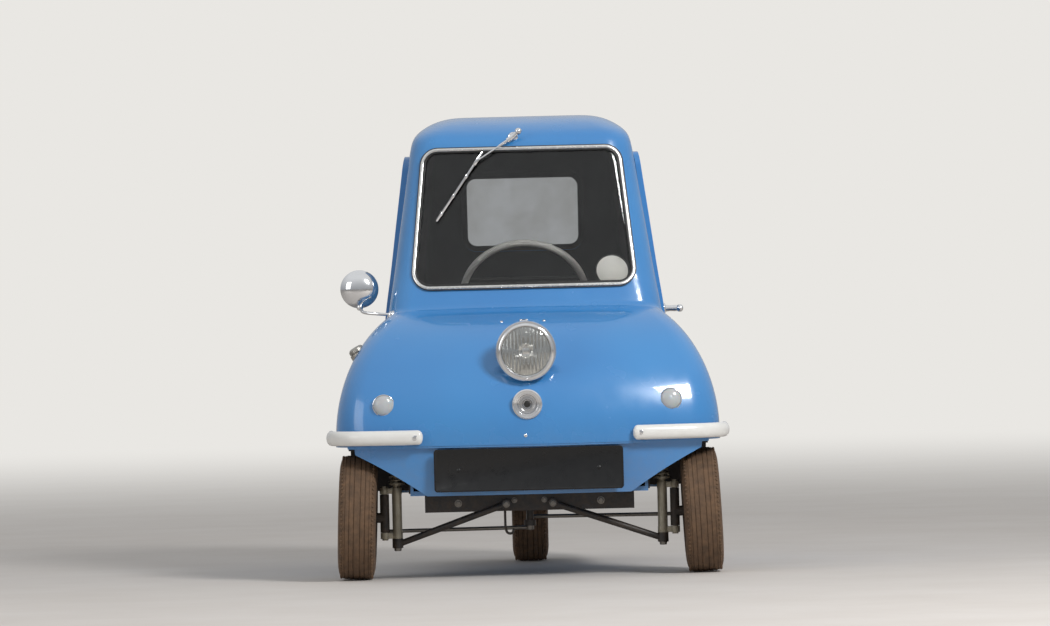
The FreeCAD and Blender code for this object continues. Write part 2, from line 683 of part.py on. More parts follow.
def floor_tub():
    low, high = float(s.floor_height), float(s.ledge_height)
    inset, wall = float(s.tub_inset), float(s.tub_wall)
    inner = tub_solid(inset + wall, low + float(s.floor_thick), high + 1)
    flange = tub_solid(s.flange_inset, high - float(s.flange_thick), high)
    walls = [bay_box(side, wall).common(tub_solid(inset + 2, low + 1, high)).cut(bay_box(side))
             for word, side in SIDES]
    cover = wheel_box(float(s.wheel_box_wall)).common(tail_room(inset + 2, float(s.wall) + 1))
    tub = tub_outside.fuse(flange).cut(inner)
    for piece in [cover] + walls:
        tub = tub.fuse(piece)
    tools = [bay_box(side) for word, side in SIDES] + [apron_cutter(side) for word, side in SIDES]
    cab_inset = float(s.wall + s.wheel_box_wall) + 1
    tools.append(wheel_box(0.0).common(tail_room(inset + wall, cab_inset)))
    half, front = float(s.wheel_box_half), float(s.wheel_box_front)
    mouth = Vector(-half, front, low - 20)
    tools.append(Part.makeBox(2 * half, float(s.tail_reach) - front, high - 40 - mouth.z, mouth))
    tools.append(Part.makeCylinder(float(s.drop_shaft_radius) + 2, 60,
                                   Vector(0, -float(s.drop_pivot), low - 20)))
    tools += [plate_bolt(centre) for centre in plate_bolts]
    for tool in tools:
        tub = tub.cut(tool)
    return tub


node("floor_tub", feature("floor_tub", floor_tub()))


def wheel_arch_liner(side):
    inner, outer = float(s.bay_inner), float(s.liner_outer)
    radius, thick = float(s.liner_radius), float(s.liner_thick)
    centre = Vector(side * inner, -float(s.front_axle), float(s.tyre_radius))
    out = Vector(side, 0, 0)
    arch = Part.makeCylinder(radius + thick, outer - inner, centre, out)
    arch = arch.cut(Part.makeCylinder(radius, outer, centre + out * thick, out))
    keep = Part.makeBox(1200, float(s.bay_front - s.bay_rear), 400,
                        Vector(-600, -float(s.bay_front), float(s.liner_foot)))
    return arch.common(keep)


node("wheel_arch_liners", feature("wheel_arch_liners", Part.makeCompound(
    [wheel_arch_liner(side) for word, side in SIDES])))


# Windscreen in its metal frame, rear window and side window.

def layer(prism, outer_inset, inner_inset):
    """The layer of the cab's wall between two insets, inside a prism."""
    return prism.common(cab_solid(float(outer_inset))).cut(cab_solid(float(inner_inset)))


width = s.frame_width
glass_back = s.glass_inset + s.glass_thick
for name, prism, stand in (("windscreen", screen_prism, s.frame_proud),
                           ("rear_window", rear_prism, s.rear_frame_proud)):
    ring = prism().cut(prism(-width))
    node(name + "_frame", feature(name + "_frame", layer(ring, -stand, s.wall)))
    node(name + "_glass", feature(name + "_glass", layer(prism(-width), s.glass_inset, glass_back)))


# The door on the left and the fixed panel on the right that matches it.
proud, gap = float(s.door_proud), float(s.door_gap)
pane_front = s.side_glass_inset - s.door_proud


def door_panel():
    skin = layer(door_prism(1), -proud, -gap)
    pan = layer(door_prism(1, -float(s.door_lap + s.pan_gap)), -proud, s.pan_depth)
    return skin.fuse(pan).cut(window_prism(1)).removeSplitter()


node("door_panel", feature("door_panel", door_panel()))
node("side_panel_right", feature("side_panel_right", layer(
    door_prism(-1).cut(window_prism(-1)), -proud, 0)))
for name, side in (("door_glass", 1), ("side_glass_right", -1)):
    node(name, feature(name, layer(window_prism(side), pane_front, pane_front + s.glass_thick)))

# The door's hinge line leans in with the cab's side.
hinge_y = float(s.door_rear + s.hinge_back)
hinge_points = [Vector(cab_side(hinge_y, z) + proud + float(s.hinge_out), hinge_y, float(z))
                for z in (s.hinge_low, s.hinge_high)]
hinge_axis = (hinge_points[1] - hinge_points[0]).normalize()
side_front, side_rear, wide, narrow = cab_plan(float(s.hinge_low))[:4]
along_side = Vector(narrow - wide, side_rear - side_front, 0)
along_side = (along_side - hinge_axis * along_side.dot(hinge_axis)).normalize()
hinge_out = along_side.cross(hinge_axis)


def hinge_frame(point):
    turn = FreeCAD.Matrix(hinge_out.x, along_side.x, hinge_axis.x, point.x,
                          hinge_out.y, along_side.y, hinge_axis.y, point.y,
                          hinge_out.z, along_side.z, hinge_axis.z, point.z, 0, 0, 0, 1)
    return Placement(turn)


def hinge_pair():
    """Leaves of both hinges, about the pin: first those on the door, then those on the body."""
    barrel, pin, length = float(s.hinge_barrel), float(s.hinge_pin), float(s.hinge_length)
    leaf, reach, out = float(s.hinge_leaf), float(s.hinge_reach), float(s.hinge_out)
    third = length / 3
    drop = out - float(s.seat_gap)
    door_part = Part.makeCylinder(barrel, third - 1, Vector(0, 0, -third / 2 + 0.5))
    door_part = door_part.fuse(Part.makeBox(leaf, reach, third - 1,
                                            Vector(-drop, -reach, -third / 2 + 0.5)))
    door_part = door_part.fuse(Part.makeBox(drop, barrel, third - 1,
                                            Vector(-drop, -barrel, -third / 2 + 0.5)))
    door_part = door_part.cut(Part.makeCylinder(pin + float(s.running_gap), length,
                                                Vector(0, 0, -length / 2)))
    low = out + proud - float(s.seat_gap)
    body_part = Part.makeCylinder(pin, length, Vector(0, 0, -length / 2))
    for z in (-length / 2, third / 2):
        body_part = body_part.fuse(Part.makeCylinder(barrel, third, Vector(0, 0, z)))
        body_part = body_part.fuse(Part.makeBox(low, barrel, third, Vector(-low, 0, z)))
        body_part = body_part.fuse(Part.makeBox(leaf, reach, third, Vector(-low, 0, z)))
    return door_part.removeSplitter(), body_part.removeSplitter()


def leaves(name, blank, seat):
    """The leaves at both hinges, cut to the face that each lies on."""
    solids = [blank.transformed(hinge_frame(point).toMatrix()).cut(seat) for point in hinge_points]
    solids = [max(solid.Solids, key=lambda piece: piece.Volume) for solid in solids]
    node(name, feature(name, Part.makeCompound(solids)))


on_door, on_body = hinge_pair()
leaves("door_hinge_leaves", on_door, nodes["door_panel"].Shape)
leaves("body_hinge_leaves", on_body, nodes["body_shell"].Shape)

handle_y = -s.door_front_low + s.handle_back
handle_x = cab_side(handle_y, s.handle_height) + s.door_proud
handle_in = handle_x - s.handle_bed
handle_blank = fuse("handle_blank", [
    cylinder("handle_rose", s.handle_radius * 2, s.handle_bed + 5, (handle_in, handle_y, s.handle_height),
             ALONG_X),
    cylinder("handle_neck", s.handle_radius, s.handle_bed + s.handle_reach - s.handle_lever / 2,
             (handle_in, handle_y, s.handle_height), ALONG_X),
    box("handle_lever", (handle_x + s.handle_reach - s.handle_lever, handle_y - s.handle_lever,
                         s.handle_height - s.handle_radius - 2),
        (s.handle_lever, s.handle_length, (s.handle_radius + 2) * 2))])
node("door_handle", cut("door_handle", handle_blank, [nodes["door_panel"]]))


# Lamps and horn.
lamp_at = (0, Dim(lamp_front), s.headlamp_height)
bowl = turned("bowl_blank", "XY_Plane", "V_Axis", headlamp_points(), lamp_at)
radius_in = s.headlamp_radius - 14
bowl_hollow = turned("bowl_hollow", "XY_Plane", "V_Axis",
                     [(0, -1), (radius_in, -1), (radius_in, 2), (radius_in - 10, 30), (30, 66), (0, 78)], lamp_at)
node("headlamp_bowl", cut("headlamp_bowl", bowl, [bowl_hollow]))
bezel, radius = s.headlamp_bezel, s.headlamp_radius
node("headlamp_rim", turned("headlamp_rim", "XY_Plane", "V_Axis", [
    (radius - bezel, 0), (radius - bezel, -6, -10), (radius - 1, -3), (radius, 4), (radius, 12),
    (radius - 4.5, 12), (radius - 4.5, 0)], lamp_at))
lens_radius = s.headlamp_radius - s.headlamp_bezel
node("headlamp_lens", turned("headlamp_lens", "XY_Plane", "V_Axis", [
    (0, -s.lens_dome), (0, -s.lens_dome + 4, s.lens_curve), (lens_radius - 4, 0),
    (lens_radius - 0.3, 0), (lens_radius - 0.3, -4, -s.lens_curve - 4)], lamp_at))
horn_at = Vector(0, horn_skin, float(s.horn_height))


def horn():
    """A collar seated on the skin, and behind it the trumpet's bell in its hole."""
    radius, stand, depth = float(s.horn_radius), float(s.horn_stand), float(s.horn_depth)
    throat, waist = float(s.horn_throat), radius - 7
    collar = turned_shape([(waist - 1, -stand + 1), (radius - 3, -stand), (radius, -stand + 3),
                           (radius, depth), (waist - 1, depth)], horn_at).cut(outside)
    bell = turned_shape([(0, -4), (throat, -2), (throat + 5, 8), (throat + 13, 8),
                         (throat + 17, -stand + 3), (waist, -stand + 2), (waist, depth), (0, depth)],
                        horn_at)
    return collar.fuse(bell).removeSplitter()


node("horn", feature("horn", horn()))


def studs(name, half, height, radius, stand, skin, out):
    """Round domed lamps seated on the body, one each side."""
    solids = []
    radius, stand = float(radius), float(stand)
    dome = [(0, -stand), (radius * 0.5, -stand * 0.95), (radius * 0.82, -stand * 0.7),
            (radius, -stand * 0.25), (radius, 24), (0, 24)]
    for word, side in SIDES:
        lamp = turned_shape(dome, Vector())
        if out > 0:
            lamp.rotate(Vector(), Vector(0, 0, 1), 180)
        solids.append(lamp.translated(skin(side * half, height)).cut(outside))
    return node(name, feature(name, Part.makeCompound(solids)))


studs("side_lamps", s.side_lamp_half, s.side_lamp_height, s.side_lamp_radius,
      s.side_lamp_stand, front_skin, -1)
studs("tail_lamps", s.tail_lamp_half, s.tail_lamp_height, s.tail_lamp_radius,
      s.tail_lamp_stand, rear_skin, 1)


# Bumpers: a flattened tube round each front corner, on two stays.

def spheroid(centre, radius, half_height):
    """A round end for the flattened tube, turned about its upright axis."""
    steps = int(s.bumper_sides) // 2
    corners = [centre + Vector(radius * math.sin(math.pi * k / steps), 0,
                               half_height * math.cos(math.pi * k / steps))
               for k in range(steps + 1)]
    corners[0].x = corners[-1].x = centre.x
    solid = Part.Face(Part.makePolygon(corners + corners[:1])).revolve(centre, Vector(0, 0, 1), 360)
    if solid.Volume < 0:
        solid.reverse()
    return solid


def bumper(side):
    depth, height = float(s.bumper_half_depth), float(s.bumper_half_height)
    plan = nose_plan(float(s.bumper_height), -depth - float(s.bumper_gap))
    (on_arc, middle, on_side), behind = plan_corners(*plan)
    front, sweep = plan[0], plan[6]
    centre = Vector(0, front + sweep, 0)

    def arc_point(x):
        return Vector(x, centre.y - math.sqrt(sweep ** 2 - x ** 2), 0)

    def at(point):
        return Vector(side * point.x, point.y, float(s.bumper_height))

    inner = arc_point(float(s.bumper_inner) + depth)
    half_way = arc_point((inner.x + on_arc.x) / 2)
    back = Vector(on_side.x, -float(s.bumper_back) + depth, 0)
    run = Part.Wire([Part.Arc(at(inner), at(half_way), at(on_arc)).toShape(),
                     Part.Arc(at(on_arc), at(middle), at(on_side)).toShape(),
                     Part.LineSegment(at(on_side), at(back)).toShape()])
    outward = (at(inner) - at(centre)).normalize()
    sides = int(s.bumper_sides)
    corners = [at(inner) + outward * (depth * math.sin(2 * math.pi * k / sides))
               + Vector(0, 0, height * math.cos(2 * math.pi * k / sides)) for k in range(sides)]
    solid = run.makePipeShell([Part.makePolygon(corners + corners[:1])], True, True)
    ends = [spheroid(at(end), depth, height) for end in (inner, back)]
    stays = []
    for x in (inner.x + 30, on_arc.x - 30):
        stay = Part.makeCylinder(float(s.bumper_stay), 30, at(arc_point(x)), Vector(0, 1, 0))
        stays.append(stay.cut(outside))
    return solid.fuse(ends + stays)


node("front_bumpers", feature("front_bumpers", Part.makeCompound(
    [bumper(side) for word, side in SIDES])))


# The number plate at the front, blank, on two bolts with spacers.

def number_plate():
    half, thick, stand = float(s.plate_half), float(s.plate_thick), float(s.plate_stand)
    low, high = float(s.plate_low), float(s.plate_high)
    back = plate_seat - stand
    plate = Part.makeBox(2 * half, thick, high - low, Vector(-half, back - thick, low))
    for centre in plate_bolts:
        spacer = Part.makeCylinder(float(s.plate_spacer), 60, Vector(centre.x, back, centre.z),
                                   Vector(0, 1, 0))
        plate = plate.fuse(max(spacer.cut(tub_outside).Solids, key=lambda piece: piece.CenterOfMass.y * -1))
    return plate.cut([plate_bolt(centre) for centre in plate_bolts]).removeSplitter()


node("number_plate_front", feature("number_plate_front", number_plate()))

# Mirror, wiper, fuel cap and the lifting bail at the tail.

def mirror():
    head = Vector(-float(s.mirror_half), -float(s.mirror_y), float(s.mirror_height))
    radius, depth = float(s.mirror_radius), float(s.mirror_depth)
    bowl = Part.makeSphere(radius * 1.15).common(
        Part.makeBox(400, depth, 400, Vector(-200, -radius * 1.15, -200)))
    bowl = bowl.translated(Vector(head.x, head.y + radius * 1.15 - depth / 2, head.z))
    foot = skin_point(Vector(-1000, -float(s.mirror_foot_y), float(s.mirror_foot_z)),
                      Vector(1, 0, 0))
    low = head + Vector(0, depth / 2 - 5, -radius + 8)
    knee = Vector(head.x + 12, (head.y + foot.y) / 2, foot.z + 6)
    stalk = rod(low, knee, float(s.mirror_stalk)).fuse(Part.makeSphere(float(s.mirror_stalk), knee))
    stalk = stalk.fuse(rod(knee, foot + Vector(6, 0, 0), float(s.mirror_stalk)))
    base = Part.makeCylinder(11, 14, foot + Vector(-5, 0, 0), Vector(1, 0, 0))
    return bowl.fuse(stalk.fuse(base).cut(outside))


def wiper():
    """A boss over the screen, a cranked arm, and a blade on the glass."""
    pivot = front_skin(-s.wiper_x, s.wiper_height)
    over = float(s.frame_proud) + float(s.wiper_blade) * 2
    knee = front_skin(-s.wiper_knee_x, s.wiper_knee_height) - Vector(0, over, 0)
    tip = front_skin(-s.wiper_tip_x, s.wiper_tip_height) - Vector(0, over, 0)
    mount = pivot - Vector(0, float(s.wiper_stand), 0)
    boss = Part.makeCylinder(float(s.wiper_boss), 30, mount - Vector(0, 4, 0), Vector(0, 1, 0))
    return boss.cut(outside).fuse([rod(mount, knee, float(s.wiper_arm)), rod(knee, tip, float(s.wiper_blade)),
                                   Part.makeSphere(float(s.wiper_blade), knee)]).removeSplitter()


def fuel_cap():
    seat = skin_point(Vector(-float(s.cap_half), -float(s.cap_y), 1000), Vector(0, 0, -1))
    lean = Vector(-0.5, 0, 0.85).normalize()
    cap = Part.makeCylinder(float(s.cap_radius), float(s.cap_stand) + 18, seat - lean * 18, lean)
    return cap.cut(outside)


def lifting_bail():
    half, z = float(s.bail_half), float(s.bail_height)
    radius = float(s.bail_radius)
    out = Vector(0, float(s.bail_stand), 0)
    feet = [rear_skin(side * half, z) for side in (-1, 1)]
    y = max(foot.y for foot in feet) + float(s.bail_stand)
    ends = [Vector(side * half, y, z) for side in (-1, 1)]
    solid = rod(ends[0], ends[1], radius)
    for foot, end in zip(feet, ends):
        solid = solid.fuse(Part.makeSphere(radius, end))
        solid = solid.fuse(rod(end, foot - Vector(0, 12, 0), radius))
    return solid.cut(outside)


for name, make in (("mirror", mirror), ("wiper", wiper), ("fuel_cap", fuel_cap),
                   ("lifting_bail", lifting_bail)):
    node(name, feature(name, make()))


# Front suspension: crossmember, lower arms, and struts that carry the kingpins.

def crossmember():
    half = s.cross_half
    beam = box("cross_beam", (-half, -s.cross_front, s.cross_low),
               (half * 2, s.cross_front - s.cross_rear, s.floor_height - s.cross_low))
    return beam


node("front_crossmember", crossmember())


def lower_arm(side):
    eye_x, eye_z = side * float(s.arm_eye_half), float(s.arm_eye_height)
    length, radius = float(s.arm_eye_length), float(s.arm_eye_radius)
    outer = Vector(side * float(s.strut_half), -float(s.front_axle), 0)
    boss_low = float(s.arm_boss_low)
    boss = Part.makeCylinder(float(s.arm_boss_radius), float(s.lug_low) - boss_low,
                             outer + Vector(0, 0, boss_low))
    solid = boss
    for face_y, out in ((-float(s.cross_front), -1), (-float(s.cross_rear), 1)):
        eye = Part.makeCylinder(radius, length, Vector(eye_x, face_y, eye_z), Vector(0, out, 0))
        start = Vector(eye_x, face_y + out * length / 2, eye_z)
        end = outer + Vector(0, 0, boss_low + float(s.arm_radius) + 1)
        solid = solid.fuse(eye).fuse(rod(start, end, float(s.arm_radius)).cut(
            Part.makeBox(2 * float(s.cross_half), float(s.cross_front - s.cross_rear), 400,
                         Vector(-float(s.cross_half), -float(s.cross_front), 0)).cut(
                Part.makeBox(4000, 4000, float(s.cross_low), Vector(-2000, -2000, 0)))))
    return max(solid.Solids, key=lambda part: part.Volume)


node("lower_arms", feature("lower_arms", Part.makeCompound(
    [lower_arm(side) for word, side in SIDES])))


def coil_spring(foot, core, radius, length, coils):
    """A spring between two flat ends, its coils as ridges round a core."""
    end = 3.0
    pitch = (length - 2 * end) / coils
    points = [(0, 0), (radius, 0), (radius, end)]
    for turn in range(coils):
        z = end + pitch * turn
        points += [(core, z + 0.01 * pitch), (core, z + 0.2 * pitch), (radius, z + 0.4 * pitch),
                   (radius, z + 0.8 * pitch)]
    points += [(core, length - end), (radius, length - end), (radius, length), (0, length)]
    corners = [Vector(u, 0, v) for u, v in points]
    face = Part.Face(Part.makePolygon(corners + corners[:1]))
    solid = face.revolve(Vector(), Vector(0, 0, 1), 360)
    if solid.Volume < 0:
        solid.reverse()
    return solid.translated(foot)


def front_strut(side):
    at = Vector(side * float(s.strut_half), -float(s.front_axle), 0)
    kingpin = Vector(side * float(s.kingpin_half), -float(s.front_axle), 0)
    low, thick = float(s.lug_low), float(s.lug_thick)
    high = float(s.sleeve_high) + 1
    top = float(s.tyre_radius + s.liner_radius) - 1
    solid = Part.makeCylinder(float(s.strut_radius), high + thick - low, at + Vector(0, 0, low))
    solid = solid.fuse(Part.makeCylinder(float(s.strut_radius) - 4, top - high,
                                         at + Vector(0, 0, high)))
    for z in (low, high):
        eye = Part.makeCylinder(float(s.sleeve_radius), thick, kingpin + Vector(0, 0, z))
        bridge = Part.makeBox(kingpin.x - at.x if side > 0 else at.x - kingpin.x, 16, thick,
                              Vector(min(at.x, kingpin.x), at.y - 8, z))
        solid = solid.fuse(eye).fuse(bridge)
    solid = solid.fuse(Part.makeCylinder(float(s.kingpin_radius), high + thick - low,
                                         kingpin + Vector(0, 0, low)))
    first, last = float(s.spring_low), float(s.spring_high)
    spring = coil_spring(at + Vector(0, 0, first), float(s.spring_core), float(s.spring_radius),
                         last - first, int(s.front_coils))
    return solid.fuse(spring).removeSplitter()


node("front_struts", feature("front_struts", Part.makeCompound(
    [front_strut(side) for word, side in SIDES])))


# Knuckles: a sleeve on the kingpin, a stub axle, a back plate and a steering arm.

def knuckle(side):
    kingpin = Vector(side * float(s.kingpin_half), -float(s.front_axle), 0)
    low, high = float(s.sleeve_low), float(s.sleeve_high)
    solid = Part.makeCylinder(float(s.sleeve_radius), high - low, kingpin + Vector(0, 0, low))
    out = Vector(side * math.cos(lean_in), 0, math.sin(lean_in))
    centre = Vector(side * float(s.wheel_half_track), -float(s.front_axle),
                    float(front_hub_height))
    inner = (float(s.wheel_half_track) - float(s.kingpin_half)) / math.cos(lean_in)
    plate = float(s.drum_inner + s.backplate_gap + s.backplate_thick)
    solid = solid.fuse(Part.makeCylinder(float(s.axle_radius), inner + float(s.hub_end) + 12,
                                         centre - out * inner, out))
    solid = solid.fuse(Part.makeCylinder(float(s.axle_radius) + 6, 9,
                                         centre + out * (float(s.hub_end) + 2), out))
    solid = solid.fuse(Part.makeCylinder(float(s.axle_radius) + 5, inner - plate,
                                         centre - out * inner, out))
    solid = solid.fuse(Part.makeCylinder(float(s.backplate_radius), float(s.backplate_thick),
                                         centre - out * plate, out))
    arm_low, arm_thick = float(s.steer_arm_low), float(s.steer_arm_thick)
    reach = float(s.steer_arm)
    end = kingpin + Vector(0, reach, arm_low)
    solid = solid.fuse(Part.makeBox(14, reach, arm_thick, kingpin + Vector(-7, 0, arm_low)))
    solid = solid.fuse(Part.makeCylinder(9, arm_thick, end))
    stud = float(s.rod_eye_thick + s.rod_eye_gap) + 6
    up = Vector(0, 0, side)
    solid = solid.fuse(Part.makeCylinder(float(s.stud_radius), stud + 2,
                                         end + Vector(0, 0, arm_thick - 2 if side > 0 else 2), up))
    bore = Part.makeCylinder(float(s.kingpin_radius + s.running_gap), high - low + 2,
                             kingpin + Vector(0, 0, low - 1))
    return solid.cut(bore).removeSplitter()


for word, side in SIDES:
    node("knuckle_" + word, feature("knuckle_" + word, knuckle(side)))


# Steering: wheel and column, a gear case on a pedestal, drop arm and tie rods.
pivot = Vector(0, -float(s.drop_pivot), 0)
tilt = math.radians(float(s.column_tilt))
column_up = Vector(0, math.cos(tilt), math.sin(tilt))
rim_centre = Vector(0, -float(s.wheel_centre_y), float(s.wheel_centre_z))
column_length = (float(s.column_foot) - float(s.wheel_centre_y)) / math.cos(tilt)


def steering_box():
    floor_top = float(s.floor_height + s.floor_thick)
    tube = Part.makeCylinder(float(s.pedestal_radius), float(s.box_low) - floor_top + 2,
                             pivot + Vector(0, 0, floor_top))
    foot = Part.makeCylinder(float(s.pedestal_radius) * 2, 6, pivot + Vector(0, 0, floor_top))
    half = float(s.box_half)
    case = Part.makeBox(2 * half, float(s.box_front - s.box_rear), float(s.box_high - s.box_low),
                        Vector(-half, -float(s.box_front), float(s.box_low)))
    case = case.makeFillet(12, case.Edges)
    neck = Part.makeCylinder(float(s.column_radius) + 8, 75,
                             rim_centre - column_up * (column_length - 5), column_up)
    solid = tube.fuse([foot, case, neck])
    shaft = Part.makeCylinder(float(s.drop_shaft_radius + s.running_gap),
                              float(s.shaft_top) + 1 - floor_top + 1,
                              pivot + Vector(0, 0, floor_top - 1))
    bore = Part.makeCylinder(float(s.column_radius + s.running_gap), 300,
                             rim_centre - column_up * (column_length + 1), column_up)
    return solid.cut([shaft, bore]).removeSplitter()


def steering_wheel():
    """The rim, two spokes, a hub and the column, square to the column."""
    rim, grip = float(s.steering_rim), float(s.steering_grip)
    sides = int(s.grip_sides)
    section = [Vector(rim + grip * math.cos(2 * math.pi * k / sides), 0,
                      grip * math.sin(2 * math.pi * k / sides)) for k in range(sides)]
    solid = Part.Face(Part.makePolygon(section + section[:1])).revolve(
        Vector(), Vector(0, 0, 1), 360)
    if solid.Volume < 0:
        solid.reverse()
    for turn in (0, 180):
        spoke = Part.makeBox(rim, 22, 6, Vector(0, -11, -6))
        spoke.rotate(Vector(), Vector(0, 0, 1), turn)
        solid = solid.fuse(spoke)
    solid = solid.fuse(Part.makeCylinder(28, 26, Vector(0, 0, -20)))
    solid = solid.fuse(Part.makeCylinder(float(s.column_radius), column_length,
                                         Vector(0, 0, -column_length)))
    facing = Rotation(Vector(1, 0, 0), -90 + float(s.column_tilt))
    solid.Placement = Placement(rim_centre, facing)
    return solid.removeSplitter()


eye_top = float(s.steer_arm_low + s.steer_arm_thick + s.rod_eye_gap)
eye_low = float(s.steer_arm_low - s.rod_eye_gap - s.rod_eye_thick)
drop_end = pivot + Vector(0, float(s.steer_arm), 0)


def drop_arm():
    low, thick = float(s.steer_arm_low), float(s.steer_arm_thick)
    solid = Part.makeCylinder(float(s.drop_shaft_radius), float(s.shaft_top) - low,
                              pivot + Vector(0, 0, low))
    solid = solid.fuse(Part.makeCylinder(15, thick, pivot + Vector(0, 0, low)))
    solid = solid.fuse(Part.makeBox(16, float(s.steer_arm), thick, pivot + Vector(-8, 0, low)))
    solid = solid.fuse(Part.makeCylinder(10, thick, drop_end + Vector(0, 0, low)))
    reach = float(s.rod_eye_thick + s.rod_eye_gap) + 2
    solid = solid.fuse(Part.makeCylinder(float(s.stud_radius), thick + 2 * reach,
                                         drop_end + Vector(0, 0, low - reach)))
    return solid.removeSplitter()


def tie_rod(side):
    z = eye_top if side > 0 else eye_low
    thick, radius = float(s.rod_eye_thick), float(s.rod_eye_radius)
    inner = drop_end + Vector(0, 0, z)
    outer = Vector(side * float(s.kingpin_half), float(s.steer_arm) - float(s.front_axle), z)
    middle = Vector(0, 0, thick / 2)
    solid = rod(inner + middle, outer + middle, float(s.rod_radius))
    for point, bore in ((inner, s.stud_radius + s.running_gap), (outer, s.stud_radius + s.stud_gap)):
        solid = solid.fuse(Part.makeCylinder(radius, thick, point))
    for point, bore in ((inner, s.stud_radius + s.running_gap), (outer, s.stud_radius + s.stud_gap)):
        solid = solid.cut(Part.makeCylinder(float(bore), thick + 2, point - Vector(0, 0, 1)))
    return solid


node("steering_box", feature("steering_box", steering_box()))
node("steering_wheel", feature("steering_wheel", steering_wheel()))
node("drop_arm", feature("drop_arm", drop_arm()))
for word, side in SIDES:
    node("tie_rod_" + word, feature("tie_rod_" + word, tie_rod(side)))


# Cabin: dash shelf, seat and pedals.
floor_top = s.floor_height + s.floor_thick


def dash_shelf():
    z = float(s.dash_height)
    front = cab_plan(z, float(s.wall))[0]
    shelf = Part.makeBox(800, float(s.dash_depth) + 60, float(s.dash_thick),
                         Vector(-400, front - 60, z))
    lip = Part.makeBox(800, float(s.dash_thick), float(s.dash_lip),
                       Vector(-400, front + float(s.dash_depth - s.dash_thick),
                              z + float(s.dash_thick - s.dash_lip)))
    return shelf.fuse(lip).common(cab_solid(float(s.wall + s.seat_gap), float(s.ledge_height)))


node("dash_shelf", feature("dash_shelf", dash_shelf()))
seat_width = s.seat_half * 2
seat_length = s.seat_front + s.seat_rear
plinth = box("plinth_block", (-s.seat_half, -s.seat_front, floor_top),
             (seat_width, seat_length, s.seat_plinth - floor_top))
plinth_room = box("plinth_room", (-s.seat_half + s.plinth_wall, -s.seat_front + s.plinth_wall,
                                  floor_top - 1),
                  (seat_width - s.plinth_wall * 2, seat_length - s.plinth_wall * 2,
                   s.seat_plinth - floor_top - s.plinth_wall + 1))
node("seat_plinth", cut("seat_plinth", plinth, [plinth_room]))
cushion = box("seat_cushion", (-s.seat_half + 4, -s.seat_front - 10, s.seat_plinth + s.seat_gap),
              (seat_width - 8, seat_length - 10, s.cushion_thick))
node("seat_cushion", cushion)
seat_back_lean = math.tan(math.radians(float(s.backrest_lean)))
backrest = box("seat_back", (-s.seat_half + 14, s.seat_rear - s.back_set,
                             s.seat_plinth + s.seat_gap + s.back_set * seat_back_lean),
               (seat_width - 28, s.backrest_thick, s.backrest_height))
backrest.Placement = Placement(Vector(), Rotation(Vector(1, 0, 0), -float(s.backrest_lean)))
node("seat_back", backrest)

pedal_list = []
for index, x in enumerate((-95, 85, 150)):
    pad = box(f"pedal_pad_{index}", (Dim(x) - s.pedal_width / 2, -s.pedal_y, floor_top + 50),
              (s.pedal_width, 8, s.pedal_height))
    stem = box(f"pedal_stem_{index}", (x - 6, -s.pedal_y - 8, floor_top), (12, 8, 90))
    pedal_list.append(fuse(f"pedal_{index}", [pad, stem]))
node("pedals", group("pedals", pedal_list))


# Drive: engine block, exhaust, rear fork and springs.
node("engine_block", box("engine_block", (-s.engine_x, s.engine_y, floor_top),
                         (s.engine_width, s.engine_length, s.engine_height)))


def exhaust():
    x, z = -float(s.silencer_x), float(s.silencer_z)
    radius, pipe = float(s.silencer_radius), float(s.tailpipe_radius)
    start, length = float(s.silencer_y), float(s.silencer_length)
    edge = radius / 3
    drum = turned_shape([(0, 0), (radius - edge, 0), (radius, edge), (radius, length - edge),
                         (radius - edge, length), (0, length)], Vector(x, start, z))
    tail = Part.makeCylinder(pipe, float(s.tailpipe_end) - start,
                             Vector(x, start, z), Vector(0, 1, 0))
    lead = rod(Vector(x, start - 40, z), Vector(x, start + 5, z), pipe + 3)
    elbow = Part.makeSphere(pipe + 3, Vector(x, start - 40, z))
    down = rod(Vector(x, start - 40, float(s.floor_height)), Vector(x, start - 40, z), pipe + 3)
    solid = drum.fuse([tail, lead, elbow, down])
    for y in (start + 40, start + length - 40):
        solid = solid.fuse(Part.makeBox(16, 4, float(s.floor_height) - z, Vector(x - 8, y, z)))
    return solid.removeSplitter()


def rear_fork():
    half, radius = float(s.fork_half), float(s.fork_radius)
    pivot_y, pivot_z = float(s.fork_pivot_y), float(s.fork_pivot_z)
    axle = Vector(0, float(rear_axle), float(s.tyre_radius))
    tube = Part.makeCylinder(float(s.fork_pivot_radius), 2 * half + 20,
                             Vector(-half - 10, pivot_y, pivot_z), Vector(1, 0, 0))
    solid = tube.fuse(Part.makeCylinder(float(s.axle_radius), 2 * half + 30,
                                        axle - Vector(half + 15, 0, 0), Vector(1, 0, 0)))
    for side in (1, -1):
        x = side * half
        start, end = Vector(x, pivot_y, pivot_z), axle + Vector(x, 0, 0)
        solid = solid.fuse(rod(start, end, radius))
        solid = solid.fuse(Part.makeCylinder(16, 10, end - Vector(5, 0, 0), Vector(1, 0, 0)))
        solid = solid.fuse(Part.makeCylinder(float(s.axle_radius) + 5, float(s.fork_half) - 46,
                                             Vector(min(x, side * 46), axle.y, axle.z),
                                             Vector(1, 0, 0)))
        solid = solid.fuse(Part.makeBox(6, 30, float(s.floor_height) - pivot_z,
                                        Vector(side * (half + 4) - 3, pivot_y - 15, pivot_z)))
    return solid.removeSplitter()


